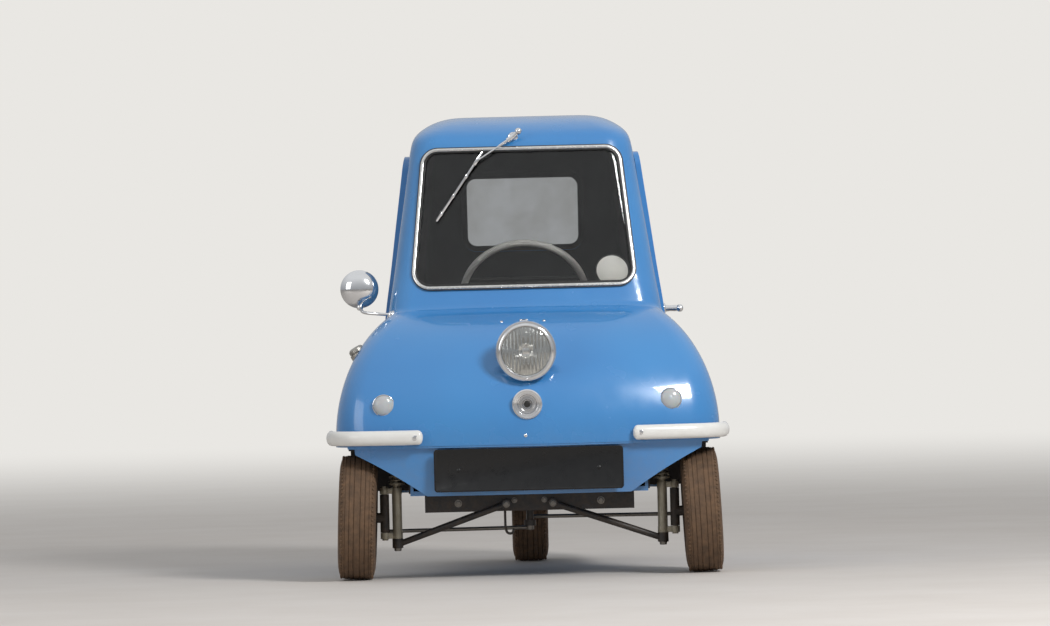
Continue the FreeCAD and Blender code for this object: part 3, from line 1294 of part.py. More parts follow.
def rear_spring(side):
    x, y = side * float(s.rear_spring_half), float(s.rear_spring_y)
    share = (y - float(s.fork_pivot_y)) / (float(rear_axle) - float(s.fork_pivot_y))
    low = float(s.fork_pivot_z) + (float(s.tyre_radius) - float(s.fork_pivot_z)) * share
    ring = float(s.rear_spring_radius)
    slope = float((s.fork_pivot_z - s.tyre_radius) / (rear_axle - s.fork_pivot_y))
    low += float(s.fork_radius) * 1.02 + ring * slope + float(s.seat_gap)
    return coil_spring(Vector(x, y, low), ring - 4, ring, float(s.wheel_box_top) - low,
                       int(s.rear_coils))


node("exhaust", feature("exhaust", exhaust()))
node("rear_fork", feature("rear_fork", rear_fork()))
node("rear_springs", feature("rear_springs", Part.makeCompound(
    [rear_spring(side) for word, side in SIDES])))

doc.recompute()
for item in doc.Objects:
    if "Invalid" in item.State or "Error" in item.State:
        raise RuntimeError(f"{item.Name} did not recompute: {item.State}")
os.makedirs("parts", exist_ok=True)
whole = FreeCAD.BoundBox()
for name, item in nodes.items():
    shape = item.Shape
    if shape.isNull() or not shape.isValid():
        raise RuntimeError(f"{name} has no valid shape")
    whole.add(shape.BoundBox)
    print(f"{name}: {len(shape.Solids)} solids, {shape.Volume / 1000:.1f} cm3, "
          f"{len(shape.Faces)} faces, box {shape.BoundBox}")
    shape.exportStep(f"parts/{name}.step")
print(len(nodes), "nodes, whole", whole)
print("hinge", hinge_points[0], hinge_axis, "rim centre", rim_centre, "column", column_up)
print("plate", plate_seat, "tail skin", rear_skin(0, 590), rear_skin(0, 640), "handle", handle_x)
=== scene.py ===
# %% [markdown]
# # A three-wheeled microcar
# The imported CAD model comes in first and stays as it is: it holds every size, place and joint.
# The cells after it give each surface its finish, and model the small things that only the eye
# needs, such as tread, ribs in the lamp glass, screws, coils and the stuffed seat.

# %% Load the frame
import json
import math

import bmesh
import bpy
from mathutils import Matrix, Vector


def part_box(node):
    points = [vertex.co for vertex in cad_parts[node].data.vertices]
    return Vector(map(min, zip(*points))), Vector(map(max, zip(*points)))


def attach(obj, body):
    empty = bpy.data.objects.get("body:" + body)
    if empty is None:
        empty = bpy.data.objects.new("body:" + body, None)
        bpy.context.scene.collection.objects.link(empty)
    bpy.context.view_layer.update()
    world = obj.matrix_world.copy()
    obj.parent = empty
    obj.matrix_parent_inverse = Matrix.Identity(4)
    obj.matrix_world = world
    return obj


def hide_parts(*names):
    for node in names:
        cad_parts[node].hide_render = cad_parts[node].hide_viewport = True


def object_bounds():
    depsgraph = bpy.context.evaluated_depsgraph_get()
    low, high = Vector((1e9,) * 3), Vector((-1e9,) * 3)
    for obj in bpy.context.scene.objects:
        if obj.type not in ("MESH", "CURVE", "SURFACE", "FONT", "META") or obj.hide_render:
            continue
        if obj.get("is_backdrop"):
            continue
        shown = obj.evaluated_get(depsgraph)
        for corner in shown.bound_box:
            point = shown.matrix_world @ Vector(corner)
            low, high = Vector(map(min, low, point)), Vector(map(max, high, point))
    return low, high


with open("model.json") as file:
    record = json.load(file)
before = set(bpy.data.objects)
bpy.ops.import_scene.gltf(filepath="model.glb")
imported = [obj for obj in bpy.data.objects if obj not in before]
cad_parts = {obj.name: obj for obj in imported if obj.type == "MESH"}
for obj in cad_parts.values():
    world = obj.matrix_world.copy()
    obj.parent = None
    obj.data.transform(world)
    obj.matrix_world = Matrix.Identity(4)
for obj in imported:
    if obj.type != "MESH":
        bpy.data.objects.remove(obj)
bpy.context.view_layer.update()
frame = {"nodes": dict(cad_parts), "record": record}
nodes = frame["nodes"]

# %% [markdown]
# ## Colours and nodes
# Paint colours are picked from charts as sRGB hex values, while shaders work in linear light, so
# one function converts them all. Node trees are easier to read when a node, its settings and its
# links stand in one call, so one function adds any kind of node. Nearly every finish has cloudy
# patches of some real size, which drift its colour or gloss, and a grain that tilts its shading.

# %% Helpers for materials
MM = 0.001


def linear(colour):
    """The linear RGBA of an sRGB hex colour."""
    channels = [int(colour[i:i + 2], 16) / 255 for i in (0, 2, 4)]
    return [c / 12.92 if c <= 0.04045 else ((c + 0.055) / 1.055) ** 2.4 for c in channels] + [1.0]


def add_node(tree, kind, settings=None, links=None):
    """Adds a node. Settings are its own properties or its inputs' values by name or number."""
    made = tree.nodes.new(kind)
    for key, value in (settings or {}).items():
        if isinstance(key, str) and hasattr(made, key):
            setattr(made, key, value)
        else:
            made.inputs[key].default_value = value
    for key, source in (links or {}).items():
        tree.links.new(source, made.inputs[key])
    return made


def start_material(name, colour, settings):
    """A material with its shader set and a point on the object to hang patterns on."""
    material = bpy.data.materials.new(name)
    material.use_nodes = True
    tree = material.node_tree
    shader = tree.nodes["Principled BSDF"]
    shader.inputs["Base Color"].default_value = linear(colour)
    for key, value in settings.items():
        shader.inputs[key].default_value = value
    point = add_node(tree, "ShaderNodeTexCoord").outputs["Object"]
    return material, tree, shader, point


def patches(tree, point, size_mm, amounts, between=(0, 1), detail=3.0, roughness=0.5):
    """Cloudy patches about size_mm wide, as amounts. The cloud is cut off at two levels."""
    cloud = add_node(tree, "ShaderNodeTexNoise",
                     {"Scale": 1 / (size_mm * MM), "Detail": detail, "Roughness": roughness},
                     {"Vector": point}).outputs["Fac"]
    return add_node(tree, "ShaderNodeMapRange",
                    {1: between[0], 2: between[1], 3: amounts[0], 4: amounts[1]},
                    {0: cloud}).outputs[0]


def two_tone(tree, shader, point, size_mm, colours, amounts, between=(0, 1), detail=3.0,
             roughness=0.5):
    """Drifts the base colour to a second one in patches, and gives the second's share."""
    share = patches(tree, point, size_mm, amounts, between, detail, roughness)
    mixed = add_node(tree, "ShaderNodeMix", {"data_type": "RGBA", 6: linear(colours[0]),
                                             7: linear(colours[1])}, {0: share})
    tree.links.new(mixed.outputs[2], shader.inputs["Base Color"])
    return share


def add_grain(tree, shader, point, size_mm, depth_mm, strength=1.0, detail=3.0):
    """Cloudy relief about size_mm wide, which tilts the shading."""
    relief = add_node(tree, "ShaderNodeTexNoise", {"Scale": 1 / (size_mm * MM), "Detail": detail},
                      {"Vector": point}).outputs["Fac"]
    bump = add_node(tree, "ShaderNodeBump", {"Strength": strength, "Distance": depth_mm * MM},
                    {"Height": relief})
    tree.links.new(bump.outputs["Normal"], shader.inputs["Normal"])


finishes = {}
print("helpers ready")

# %% [markdown]
# ## Gel coat
# The body is glass-fibre whose first layer in the mould is a pigmented, glossy gel coat. Up close
# it has a soft ripple from the mould, a fine dimpled texture, and road film low down. A clear coat
# layer gives the sharp highlight over the softer base.

# %% Body colours
def gel_coat(name, colour, deeper, film="7A6F60"):
    """Glossy paint between two shades, with road film below the belt."""
    material, tree, shader, point = start_material(
        name, colour, {"Roughness": 0.24, "IOR": 1.5, "Coat Weight": 0.7, "Coat Roughness": 0.05})
    shade = patches(tree, point, 340, (0, 1), (0.3, 0.7), 2.0)
    paint = add_node(tree, "ShaderNodeMix", {"data_type": "RGBA", 6: linear(colour),
                                             7: linear(deeper)}, {0: shade})
    height = add_node(tree, "ShaderNodeSeparateXYZ", links={0: point}).outputs["Z"]
    low = add_node(tree, "ShaderNodeMapRange", {1: 0.215, 2: 0.42, 3: 0.42, 4: 0.0}, {0: height})
    grime = add_node(tree, "ShaderNodeTexNoise",
                     {"Scale": 1 / (28 * MM), "Detail": 6.0, "Roughness": 0.65}, {"Vector": point})
    dirt = add_node(tree, "ShaderNodeMath", {"operation": "MULTIPLY"},
                    {0: grime.outputs["Fac"], 1: low.outputs[0]}).outputs[0]
    filmed = add_node(tree, "ShaderNodeMix", {"data_type": "RGBA", 7: linear(film)},
                      {0: dirt, 6: paint.outputs[2]})
    tree.links.new(filmed.outputs[2], shader.inputs["Base Color"])
    polish = patches(tree, point, 60, (0.18, 0.28), (0.35, 0.7), 2.0)
    rough = add_node(tree, "ShaderNodeMath", {"operation": "ADD"}, {0: polish, 1: dirt})
    tree.links.new(rough.outputs[0], shader.inputs["Roughness"])
    ripple = add_node(tree, "ShaderNodeTexNoise", {"Scale": 1 / (130 * MM), "Detail": 1.0},
                      {"Vector": point}).outputs["Fac"]
    dimples = patches(tree, point, 5, (0, 0.03), detail=1.0)
    relief = add_node(tree, "ShaderNodeMath", {"operation": "ADD"}, {0: ripple, 1: dimples})
    bump = add_node(tree, "ShaderNodeBump", {"Strength": 0.3, "Distance": 1.2 * MM},
                    {"Height": relief.outputs[0]})
    tree.links.new(bump.outputs["Normal"], shader.inputs["Normal"])
    return material


finishes["blue_paint"] = gel_coat("Blue gel coat", "3B88C7", "3780C0")
print("gel coat made")

# %% [markdown]
# ## Bright metal
# Chrome plate is a mirror with a faint blue-grey cast; handling leaves a film that only shows as
# patches of wider highlight. The screen frame is an aluminium extrusion polished by hand, so its
# marks run along it and it is never quite a mirror. Both are pure metals, where the colour is the
# reflection.

# %% Chrome, polished aluminium, castings and steel
def bright_metal(name, colour, rough_low, rough_high, film_mm, bump_mm=0.0):
    """Bare metal whose gloss and tint drift in patches about film_mm wide."""
    material, tree, shader, point = start_material(name, colour, {"Metallic": 1.0})
    film = patches(tree, point, film_mm, (rough_low, rough_high), (0.35, 0.7), 5.0, 0.6)
    tree.links.new(film, shader.inputs["Roughness"])
    two_tone(tree, shader, point, film_mm * 2.3, (colour, "8C857A"), (0, 0.35))
    if bump_mm:
        add_grain(tree, shader, point, 1.6, bump_mm, detail=4.0)
    return material


def brushed_metal(name, colour, stretch):
    """Fine marks drawn out along one axis, each about 0.6 mm wide so that they show at all."""
    material, tree, shader, point = start_material(name, colour, {"Metallic": 1.0})
    drawn = add_node(tree, "ShaderNodeMapping", {"Scale": stretch}, {"Vector": point}).outputs[0]
    marks = patches(tree, drawn, 0.6, (0.14, 0.34), (0.3, 0.7))
    tree.links.new(marks, shader.inputs["Roughness"])
    add_grain(tree, shader, drawn, 0.6, 0.02, 0.5)
    return material


finishes["chrome_trim"] = bright_metal("Chrome plate", "E9EAEC", 0.05, 0.2, 35)
finishes["lamp_shell"] = bright_metal("Chromed steel pressing", "E7E8EA", 0.07, 0.24, 30)
finishes["polished_metal"] = brushed_metal("Polished aluminium extrusion", "D6D5D2", (0.04, 1, 0.04))
finishes["alloy"] = bright_metal("Sand-cast alloy", "A9A7A2", 0.34, 0.55, 9, 0.25)
finishes["silvered_dish"] = bright_metal("Silvered glass", "F2F3F4", 0.02, 0.06, 40)
finishes["bare_steel"] = bright_metal("Bare mild steel", "7E7973", 0.35, 0.6, 14, 0.05)
print("metals made")

# %% [markdown]
# ## Painted steel and castings under the car
# Chassis parts are brushed with black bitumen or enamel, and road dust settles on them in a warm
# brown film that hides the gloss. The spring legs were sprayed a silvery beige. The same recipe
# serves all of them: a colour, a second colour for dust, and how much of it lies there.

# %% Dusty enamel
def dusty_enamel(name, colour, dust, share, roughness=0.4, grain_mm=6.0, metallic=0.0):
    """Brushed or sprayed paint with up to a share of dust on it."""
    material, tree, shader, point = start_material(
        name, colour, {"Roughness": roughness, "Metallic": metallic, "IOR": 1.5})
    amount = two_tone(tree, shader, point, 22, (colour, dust), (0, share), (0.35, 0.75), 6.0, 0.7)
    rough = add_node(tree, "ShaderNodeMapRange", {3: roughness, 4: 0.85}, {0: amount})
    tree.links.new(rough.outputs[0], shader.inputs["Roughness"])
    add_grain(tree, shader, point, grain_mm, 0.3, 0.5, 4.0)
    return material


finishes["chassis_paint"] = dusty_enamel("Black chassis enamel", "1B1918", "5A4A3C", 0.55)
finishes["strut_paint"] = dusty_enamel("Silver-beige enamel", "A39C8A", "6B5B49", 0.4, 0.35,
                                       metallic=0.4)
finishes["cast_knuckle"] = dusty_enamel("Painted cast iron", "2A2725", "5D4C3D", 0.6, 0.6, 2.0)
finishes["wheel_paint"] = dusty_enamel("Silver wheel enamel", "B9B7B0", "7A6B59", 0.45, 0.32,
                                       metallic=0.5)
finishes["white_bumper"] = dusty_enamel("White stove enamel", "E9E8E4", "A79F92", 0.14, 0.18,
                                        40.0)
finishes["dark_underside"] = dusty_enamel("Black resin over matting", "161514", "4C4036", 0.35,
                                          0.7, 5.0)
print("enamels made")

# %% [markdown]
# ## Rubber and plastic
# Cured rubber is a warm grey-black, and on the road it wears to a matt brown-grey with dust, which
# is mixed in by noise over a grain of about a millimetre. Plastic parts come from a polished or
# spark-eroded mould, so their colour is even and only their gloss and grain differ.

# %% Rubbers and plastics
def rubber(name, colour, dust, share, roughness, grain_mm=1.2):
    """Cured rubber with a share of dust on it."""
    material, tree, shader, point = start_material(
        name, colour, {"Roughness": roughness, "IOR": 1.52})
    two_tone(tree, shader, point, 18, (colour, dust), (share * 0.35, share), (0.3, 0.7), 6.0, 0.65)
    add_grain(tree, shader, point, grain_mm, 0.12, 0.6)
    return material


def moulded_plastic(name, colour, roughness, grain_mm, bump_mm=0.05, coat=0.0):
    """Injection-moulded plastic: an even colour with a fine spark-eroded grain."""
    material, tree, shader, point = start_material(
        name, colour, {"IOR": 1.49, "Coat Weight": coat, "Coat Roughness": 0.08})
    wear = patches(tree, point, 26, (roughness * 0.8, min(roughness * 1.3, 1)), (0.3, 0.7), 5.0, 0.6)
    tree.links.new(wear, shader.inputs["Roughness"])
    add_grain(tree, shader, point, grain_mm, bump_mm, 0.5, 2.0)
    return material


finishes["tyre_rubber"] = rubber("Dusty tyre rubber", "2E2620", "7C5F45", 0.8, 0.85)
finishes["black_rubber"] = rubber("Extruded seal rubber", "141414", "3A3632", 0.25, 0.55)
finishes["grey_plastic"] = moulded_plastic("Grey wheel-rim plastic", "C6C5C3", 0.3, 0.9, coat=0.3)
finishes["dark_trim"] = moulded_plastic("Black grained trim", "181818", 0.55, 1.4, 0.15)
finishes["white_card"] = moulded_plastic("Blank white card", "EFEEEA", 0.5, 1.2)
finishes["black_plate"] = moulded_plastic("Blank black acrylic", "070708", 0.3, 3.0, 0.02)
print("rubbers and plastics made")

# %% [markdown]
# ## Vinyl cloth, thread and felt
# The seat is trimmed in vinyl cloth: a knitted back with an embossed leather-like skin. Voronoi
# cells about 2.5 mm wide make the emboss, and the creases between them stay matt while the crowns
# of the cells shine with use. The cabin is lined in needled felt, which has no gloss at all.

# %% Vinyl, thread and felt
def vinyl_cloth(name, colour, worn, cell_mm=2.5):
    """Vinyl with an embossed grain, a little paler where it is worn."""
    material, tree, shader, point = start_material(
        name, colour, {"IOR": 1.48, "Sheen Weight": 0.08})
    two_tone(tree, shader, point, 60, (colour, worn), (0, 0.6), (0.4, 0.7), 4.0)
    cells = add_node(tree, "ShaderNodeTexVoronoi",
                     {"feature": "DISTANCE_TO_EDGE", "Scale": 1 / (cell_mm * MM)},
                     {"Vector": point}).outputs["Distance"]
    rough = add_node(tree, "ShaderNodeMapRange", {2: 0.3, 3: 0.62, 4: 0.38}, {0: cells})
    tree.links.new(rough.outputs[0], shader.inputs["Roughness"])
    crowns = add_node(tree, "ShaderNodeMapRange", {2: 0.2}, {0: cells})
    bump = add_node(tree, "ShaderNodeBump", {"Strength": 0.6, "Distance": 0.25 * MM},
                    {"Height": crowns.outputs[0]})
    tree.links.new(bump.outputs["Normal"], shader.inputs["Normal"])
    return material


def felt(name, colour, worn):
    """Needled fibre, cloudy in tone. Its nap is drawn 25 mm coarse: finer, it would only sparkle."""
    material, tree, shader, point = start_material(
        name, colour, {"Roughness": 1.0, "Sheen Weight": 0.1})
    two_tone(tree, shader, point, 45, (colour, worn), (0, 1), (0.35, 0.65), 4.0)
    add_grain(tree, shader, point, 25, 0.5, 0.3, 0.0)
    return material


finishes["seat_vinyl"] = vinyl_cloth("Black vinyl cloth", "1C1C1E", "2C2B2A")
finishes["seat_thread"] = rubber("Bonded nylon thread", "2A2A2A", "3A3834", 0.4, 0.6, 1.0)
# near-black felt for the cabin lining: painted shade that darkens the cabin
finishes["felt_painted_shade"] = felt("Black felt as painted cabin shade", "0D0D0D", "191817")
print("vinyl, thread and felt made")

# %% [markdown]
# ## Glass and lenses
# Window glass is clear float glass with a pale grey tint and a thin film of dust. The headlamp has
# a pressed glass whose ribs spread the beam. Side and tail lamps are moulded acrylic: milky white
# and clear red.

# %% Glass, milky and red lenses
def clear_glass(name, tint, filmed, ior=1.5):
    """Smooth glass. Its film is in the tint, because roughness would blur what stands behind it."""
    material, tree, shader, point = start_material(
        name, tint, {"Transmission Weight": 1.0, "Roughness": 0.0, "IOR": ior})
    two_tone(tree, shader, point, 90, (tint, filmed), (0, 1), (0.4, 0.7), 4.0)
    return material


def lens_plastic(name, colour, transmission, roughness):
    """Coloured acrylic that lets light through and scatters some of it inside."""
    material, tree, shader, point = start_material(
        name, colour, {"Transmission Weight": transmission, "Subsurface Weight": 0.2,
                       "Subsurface Scale": 4 * MM, "IOR": 1.49, "Coat Weight": 0.5,
                       "Coat Roughness": 0.04})
    haze = patches(tree, point, 5, (roughness, roughness + 0.1), detail=1.0)
    tree.links.new(haze, shader.inputs["Roughness"])
    return material


# under the 1.5 of real glass, so that the pale studio shows less in the panes
PANE_IOR = 1.38
finishes["window_glass"] = clear_glass("Float glass", "F0F0EE", "E2E1DD", PANE_IOR)
finishes["lamp_glass"] = clear_glass("Pressed lamp glass", "FDFDFB", "F4F4F0")
finishes["white_lens"] = lens_plastic("Milky acrylic", "DCDEDC", 0.35, 0.14)
finishes["red_lens"] = lens_plastic("Red acrylic", "A80F12", 0.5, 0.08)
print("glass made")

# %% [markdown]
# ## Dress the CAD nodes
# The CAD meshes come as loose triangles. Welding their doubles lets the shading run smoothly over
# the curves, and a small geometry-node group keeps each edge sharper than 32 degrees crisp. The
# meshes themselves stay as packed.

# %% Weld, smooth and paint
def smooth_by_angle(degrees):
    """A modifier group that shades smooth all but the edges bent more than an angle."""
    group = bpy.data.node_groups.new("Smooth below an angle", "GeometryNodeTree")
    group.interface.new_socket("Geometry", in_out="INPUT", socket_type="NodeSocketGeometry")
    group.interface.new_socket("Geometry", in_out="OUTPUT", socket_type="NodeSocketGeometry")
    start = group.nodes.new("NodeGroupInput")
    end = group.nodes.new("NodeGroupOutput")
    angle = group.nodes.new("GeometryNodeInputMeshEdgeAngle")
    flat_enough = add_node(group, "FunctionNodeCompare",
                           {"operation": "LESS_EQUAL", "B": math.radians(degrees)},
                           {"A": angle.outputs["Unsigned Angle"]})
    edges = add_node(group, "GeometryNodeSetShadeSmooth", {"domain": "EDGE"},
                     {"Geometry": start.outputs[0], "Shade Smooth": flat_enough.outputs[0]})
    faces = add_node(group, "GeometryNodeSetShadeSmooth", {"domain": "FACE"},
                     {"Geometry": edges.outputs[0]})
    group.links.new(faces.outputs[0], end.inputs[0])
    return group


MERGE = 0.02 * MM
smooth_group = smooth_by_angle(32)
slot_of = {row["node"]: row["material_slot"] for row in frame["record"]["subparts"]}
for name, obj in nodes.items():
    obj.data.materials.clear()
    obj.data.materials.append(finishes[slot_of[name]])
    weld = obj.modifiers.new("Weld", "WELD")
    weld.merge_threshold = MERGE
    obj.modifiers.new("Smooth", "NODES").node_group = smooth_group
print("dressed", len(nodes), "nodes in", len(set(slot_of.values())), "finishes")

# %% [markdown]
# ## Tools for new pieces
# Each new piece starts as a bmesh and is shaped by operators. A lathe spins a half outline about
# an axis, which suits lamps, bolts and tyres. A bar is a circle pushed straight, and a rod is the
# same circle led through points, as a rod is bent on a bench. A panel's skin can be copied from
# the CAD. Finishing a piece recalculates its normals, gives it its finish and sets it on its body.

# %% Lathe, bars, block, skin and finish
def lathe(bm, outline, place=Matrix(), steps=48):
    """Spins an outline of (radius, height) about Z and puts it in place."""
    verts = [bm.verts.new((radius, 0, height)) for radius, height in outline]
    edges = [bm.edges.new(pair) for pair in zip(verts, verts[1:])]
    old = set(bm.verts) - set(verts)
    bmesh.ops.spin(bm, geom=verts + edges, cent=(0, 0, 0), axis=(0, 0, 1), angle=2 * math.pi,
                   steps=steps, use_merge=True)
    new = [v for v in bm.verts if v not in old]
    bmesh.ops.remove_doubles(bm, verts=new, dist=1e-6)
    new = [v for v in bm.verts if v not in old]
    bmesh.ops.transform(bm, matrix=place, verts=new)


def turned(bm, profile, place=Matrix(), steps=48):
    """Lathes a profile of (radius, height) in mm."""
    lathe(bm, [(radius * MM, height * MM) for radius, height in profile], place, steps)


def copy_round(bm, faces, count):
    """Copies faces round Z, until there are so many of them in the whole turn."""
    bmesh.ops.spin(bm, geom=faces, cent=(0, 0, 0), axis=(0, 0, 1),
                   angle=2 * math.pi * (count - 1) / count, steps=count - 1, use_duplicate=True)


def facing(direction, at):
    """The place that turns Z to a direction, at a point."""
    turn = Vector(direction).to_track_quat("Z", "Y").to_matrix().to_4x4()
    return Matrix.Translation(Vector(at)) @ turn


def straight_bar(bm, start, end, radius, sides=16):
    """A round bar between two points."""
    run = Vector(end) - Vector(start)
    made = bmesh.ops.create_circle(bm, cap_ends=True, segments=sides, radius=radius,
                                   matrix=facing(run.normalized(), start))
    moved = bmesh.ops.extrude_face_region(bm, geom=[made["verts"][0].link_faces[0]])["geom"]
    bmesh.ops.translate(bm, vec=run, verts=[v for v in moved if isinstance(v, bmesh.types.BMVert)])


def bent_rod(bm, points, radius, bend, sides=16):
    """A rod through points, its corners drawn as arcs by short runs. The end face is pushed on
    together with its edges, so that no face stays behind inside the rod."""
    curve = [points[0]]
    for before, here, after in zip(points, points[1:], points[2:]):
        a = here + (before - here).normalized() * min(bend, (before - here).length * 0.45)
        b = here + (after - here).normalized() * min(bend, (after - here).length * 0.45)
        curve += [(1 - t) ** 2 * a + 2 * t * (1 - t) * here + t ** 2 * b
                  for t in (0, 0.2, 0.4, 0.6, 0.8, 1)]
    curve.append(points[-1])
    runs = [(b - a).normalized() for a, b in zip(curve, curve[1:])]
    directions = [runs[0]] + [(a + b).normalized() for a, b in zip(runs, runs[1:])] + [runs[-1]]
    made = bmesh.ops.create_circle(bm, cap_ends=True, segments=sides, radius=radius,
                                   matrix=facing(directions[0], curve[0]))
    face = made["verts"][0].link_faces[0]
    for start, end, first, last in zip(curve, curve[1:], directions, directions[1:]):
        moved = bmesh.ops.extrude_face_region(bm, geom=[face, *face.edges])["geom"]
        verts = [v for v in moved if isinstance(v, bmesh.types.BMVert)]
        face = next(f for f in moved if isinstance(f, bmesh.types.BMFace))
        turn = first.rotation_difference(last).to_matrix().to_4x4()
        bmesh.ops.transform(bm, verts=verts,
                            matrix=Matrix.Translation(end) @ turn @ Matrix.Translation(-start))


def block(bm, centre, size, edge=0.0, turn=Matrix(), segments=2):
    """A box with rounded edges, about its centre."""
    made = bmesh.ops.create_cube(bm, size=1.0)["verts"]
    bmesh.ops.scale(bm, vec=size, verts=made)
    if edge:
        edges = list({e for v in made for e in v.link_edges})
        made = bmesh.ops.bevel(bm, geom=edges, offset=edge, offset_type="OFFSET", affect="EDGES",
                               segments=segments, profile=0.5, material=-1)["verts"]
        made = list({v for start in made for f in start.link_faces for v in f.verts})
    bmesh.ops.transform(bm, matrix=Matrix.Translation(Vector(centre)) @ turn, verts=made)
    return made


def merged_copy(mesh):
    """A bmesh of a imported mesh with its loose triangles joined."""
    bm = bmesh.new()
    bm.from_mesh(mesh)
    bmesh.ops.remove_doubles(bm, verts=bm.verts, dist=MERGE)
    return bm


def finish_piece(name, bm, finish, body="root", stands_for=(), angle=35):
    """Makes the mesh an object with smooth faces, a finish and a body to ride on."""
    bmesh.ops.dissolve_degenerate(bm, dist=1e-7, edges=bm.edges)
    bmesh.ops.recalc_face_normals(bm, faces=bm.faces)
    mesh = bpy.data.meshes.new(name)
    bm.to_mesh(mesh)
    bm.free()
    mesh.shade_smooth()
    mesh.set_sharp_from_angle(angle=math.radians(angle))
    mesh.materials.append(finishes[finish])
    obj = bpy.data.objects.new(name, mesh)
    bpy.context.scene.collection.objects.link(obj)
    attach(obj, body)
    if stands_for:
        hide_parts(*stands_for)
    print(name, len(mesh.polygons), "faces on", body)
    return obj


SIDES = (1, -1)
FORWARD, BACKWARD = (0, -1, 0), (0, 1, 0)
print("tools ready")

# %% [markdown]
# ## Tyres
# These are small cross-ply tyres: a nearly flat tread with running grooves and a rounded shoulder.
# The outline is spun about the axle. Rows of small blocks would cost many faces for something
# seen edge-on, so the ribs are in the outline and only the shoulders get cut lugs, copied round by
# a spin that duplicates.

# %% Tread, shoulders and sidewalls
TYRE_RADIUS, CAMBER = 160 * MM, math.radians(2.5)
# half the outline: (across, radius) in mm from the middle of the tread to the bead
TYRE_HALF_OUTLINE = (
    (0, 159.9), (6.9, 159.9), (7.5, 158.1), (8.9, 158.1), (9.5, 159.9), (18.9, 159.8),
    (19.5, 158), (20.9, 158), (21.5, 159.7), (29.9, 159.6), (30.5, 157.9), (31.7, 157.9),
    (32.3, 158.8), (38, 156.6), (41.5, 153), (43.2, 148), (44.4, 147.4), (46.3, 140), (48, 131),
    (48.7, 121), (48, 110), (45.6, 100), (44.6, 99.2), (43.6, 92), (40.6, 83), (37, 77),
    (35.6, 73), (35.5, 66))
# the leaning front tyres stand on the part of their tread this far from the middle
CONTACT = 30 * MM
FRONT_AXLE, REAR_AXLE, FRONT_WHEEL_X = -496 * MM, 486 * MM, 444.5 * MM
# name, body, side, centre in x and y, camber
WHEELS = (("front_left", "wheel_front_left", 1, FRONT_WHEEL_X, FRONT_AXLE, CAMBER),
          ("front_right", "wheel_front_right", -1, -FRONT_WHEEL_X, FRONT_AXLE, CAMBER),
          ("rear", "wheel_rear", 1, 0, REAR_AXLE, 0))
LUG_RADIUS, LUG_ACROSS, LUG_SIZE, LUG_LEAN, LUGS = 155.6, 39.4, (5, 5.5, 6), math.radians(52), 84


def wheel_place(side, x, y, camber):
    """Turns Z to the axle, pointing outboard, at the wheel's centre."""
    height = TYRE_RADIUS * math.cos(camber) + CONTACT * math.sin(camber)
    return facing((side * math.cos(camber), 0, math.sin(camber)), (x, y, height))


def make_tyre(name, body, place):
    """Spins the outline and cuts a lug on each shoulder, then copies the lugs round."""
    bm = bmesh.new()
    right = [(radius * MM, across * MM) for across, radius in TYRE_HALF_OUTLINE]
    outline = [(radius, -across) for radius, across in reversed(right[1:])] + right
    lathe(bm, outline + outline[:1], steps=120)
    for across in (-1, 1):
        lug = block(bm, Vector((LUG_RADIUS, 0, across * LUG_ACROSS)) * MM, Vector(LUG_SIZE) * MM,
                    0.8 * MM, segments=1, turn=Matrix.Rotation(across * LUG_LEAN, 4, "Y"))
        faces = list({f for v in lug for f in v.link_faces})
        copy_round(bm, faces, LUGS)
    bmesh.ops.transform(bm, matrix=place, verts=bm.verts)
    return finish_piece(name, bm, "tyre_rubber", body, angle=28)


for name, body, side, x, y, camber in WHEELS:
    tyre = make_tyre("tread_" + name, body, wheel_place(side, x, y, camber))
    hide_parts("tyre_" + name)

# %% [markdown]
# ## Body moulding
# A roof moulding is laid up in a polished mould, so it is one smooth crown. The CAD skin ends in a
# raised flat middle with a lip round it, which would catch the light as a line. Here the skin is
# copied and merged, cut level well under the lip, and the outer and inner cuts are each closed
# with one face. That face is drawn up in rings that follow a quarter ellipse to the top.

# %% Body skin with a crowned roof
ROOF_CUT, EAVE, ROOF_TOP, CEILING = 1172, 1105, 1194, 1184
# how far the roof comes in from its eave to its middle, and the half size of that middle, in mm
CROWN_IN, CROWN_MIDDLE = Vector((130, 195)), Vector((151.8, 141.5))


def crown(bm, face, top, rings=10):
    """Draws a face up in rings, each smaller, to a nearly flat middle."""
    start = math.asin((ROOF_CUT - EAVE) / (top - EAVE))
    centre = face.calc_center_median()
    last = CROWN_MIDDLE + CROWN_IN * math.cos(start)
    for ring in range(1, rings + 1):
        angle = start + (math.pi / 2 - start) * ring / rings
        size = CROWN_MIDDLE + CROWN_IN * math.cos(angle)
        made = bmesh.ops.extrude_face_region(bm, geom=[face])["geom"]
        if face.is_valid:
            bmesh.ops.delete(bm, geom=[face], context="FACES_ONLY")
        face = next(item for item in made if isinstance(item, bmesh.types.BMFace))
        verts = list(face.verts)
        bmesh.ops.scale(bm, vec=(size.x / last.x, size.y / last.y, 1), verts=verts,
                        space=Matrix.Translation(-centre))
        for vert in verts:
            vert.co.z = (EAVE + (top - EAVE) * math.sin(angle)) * MM
        last = size


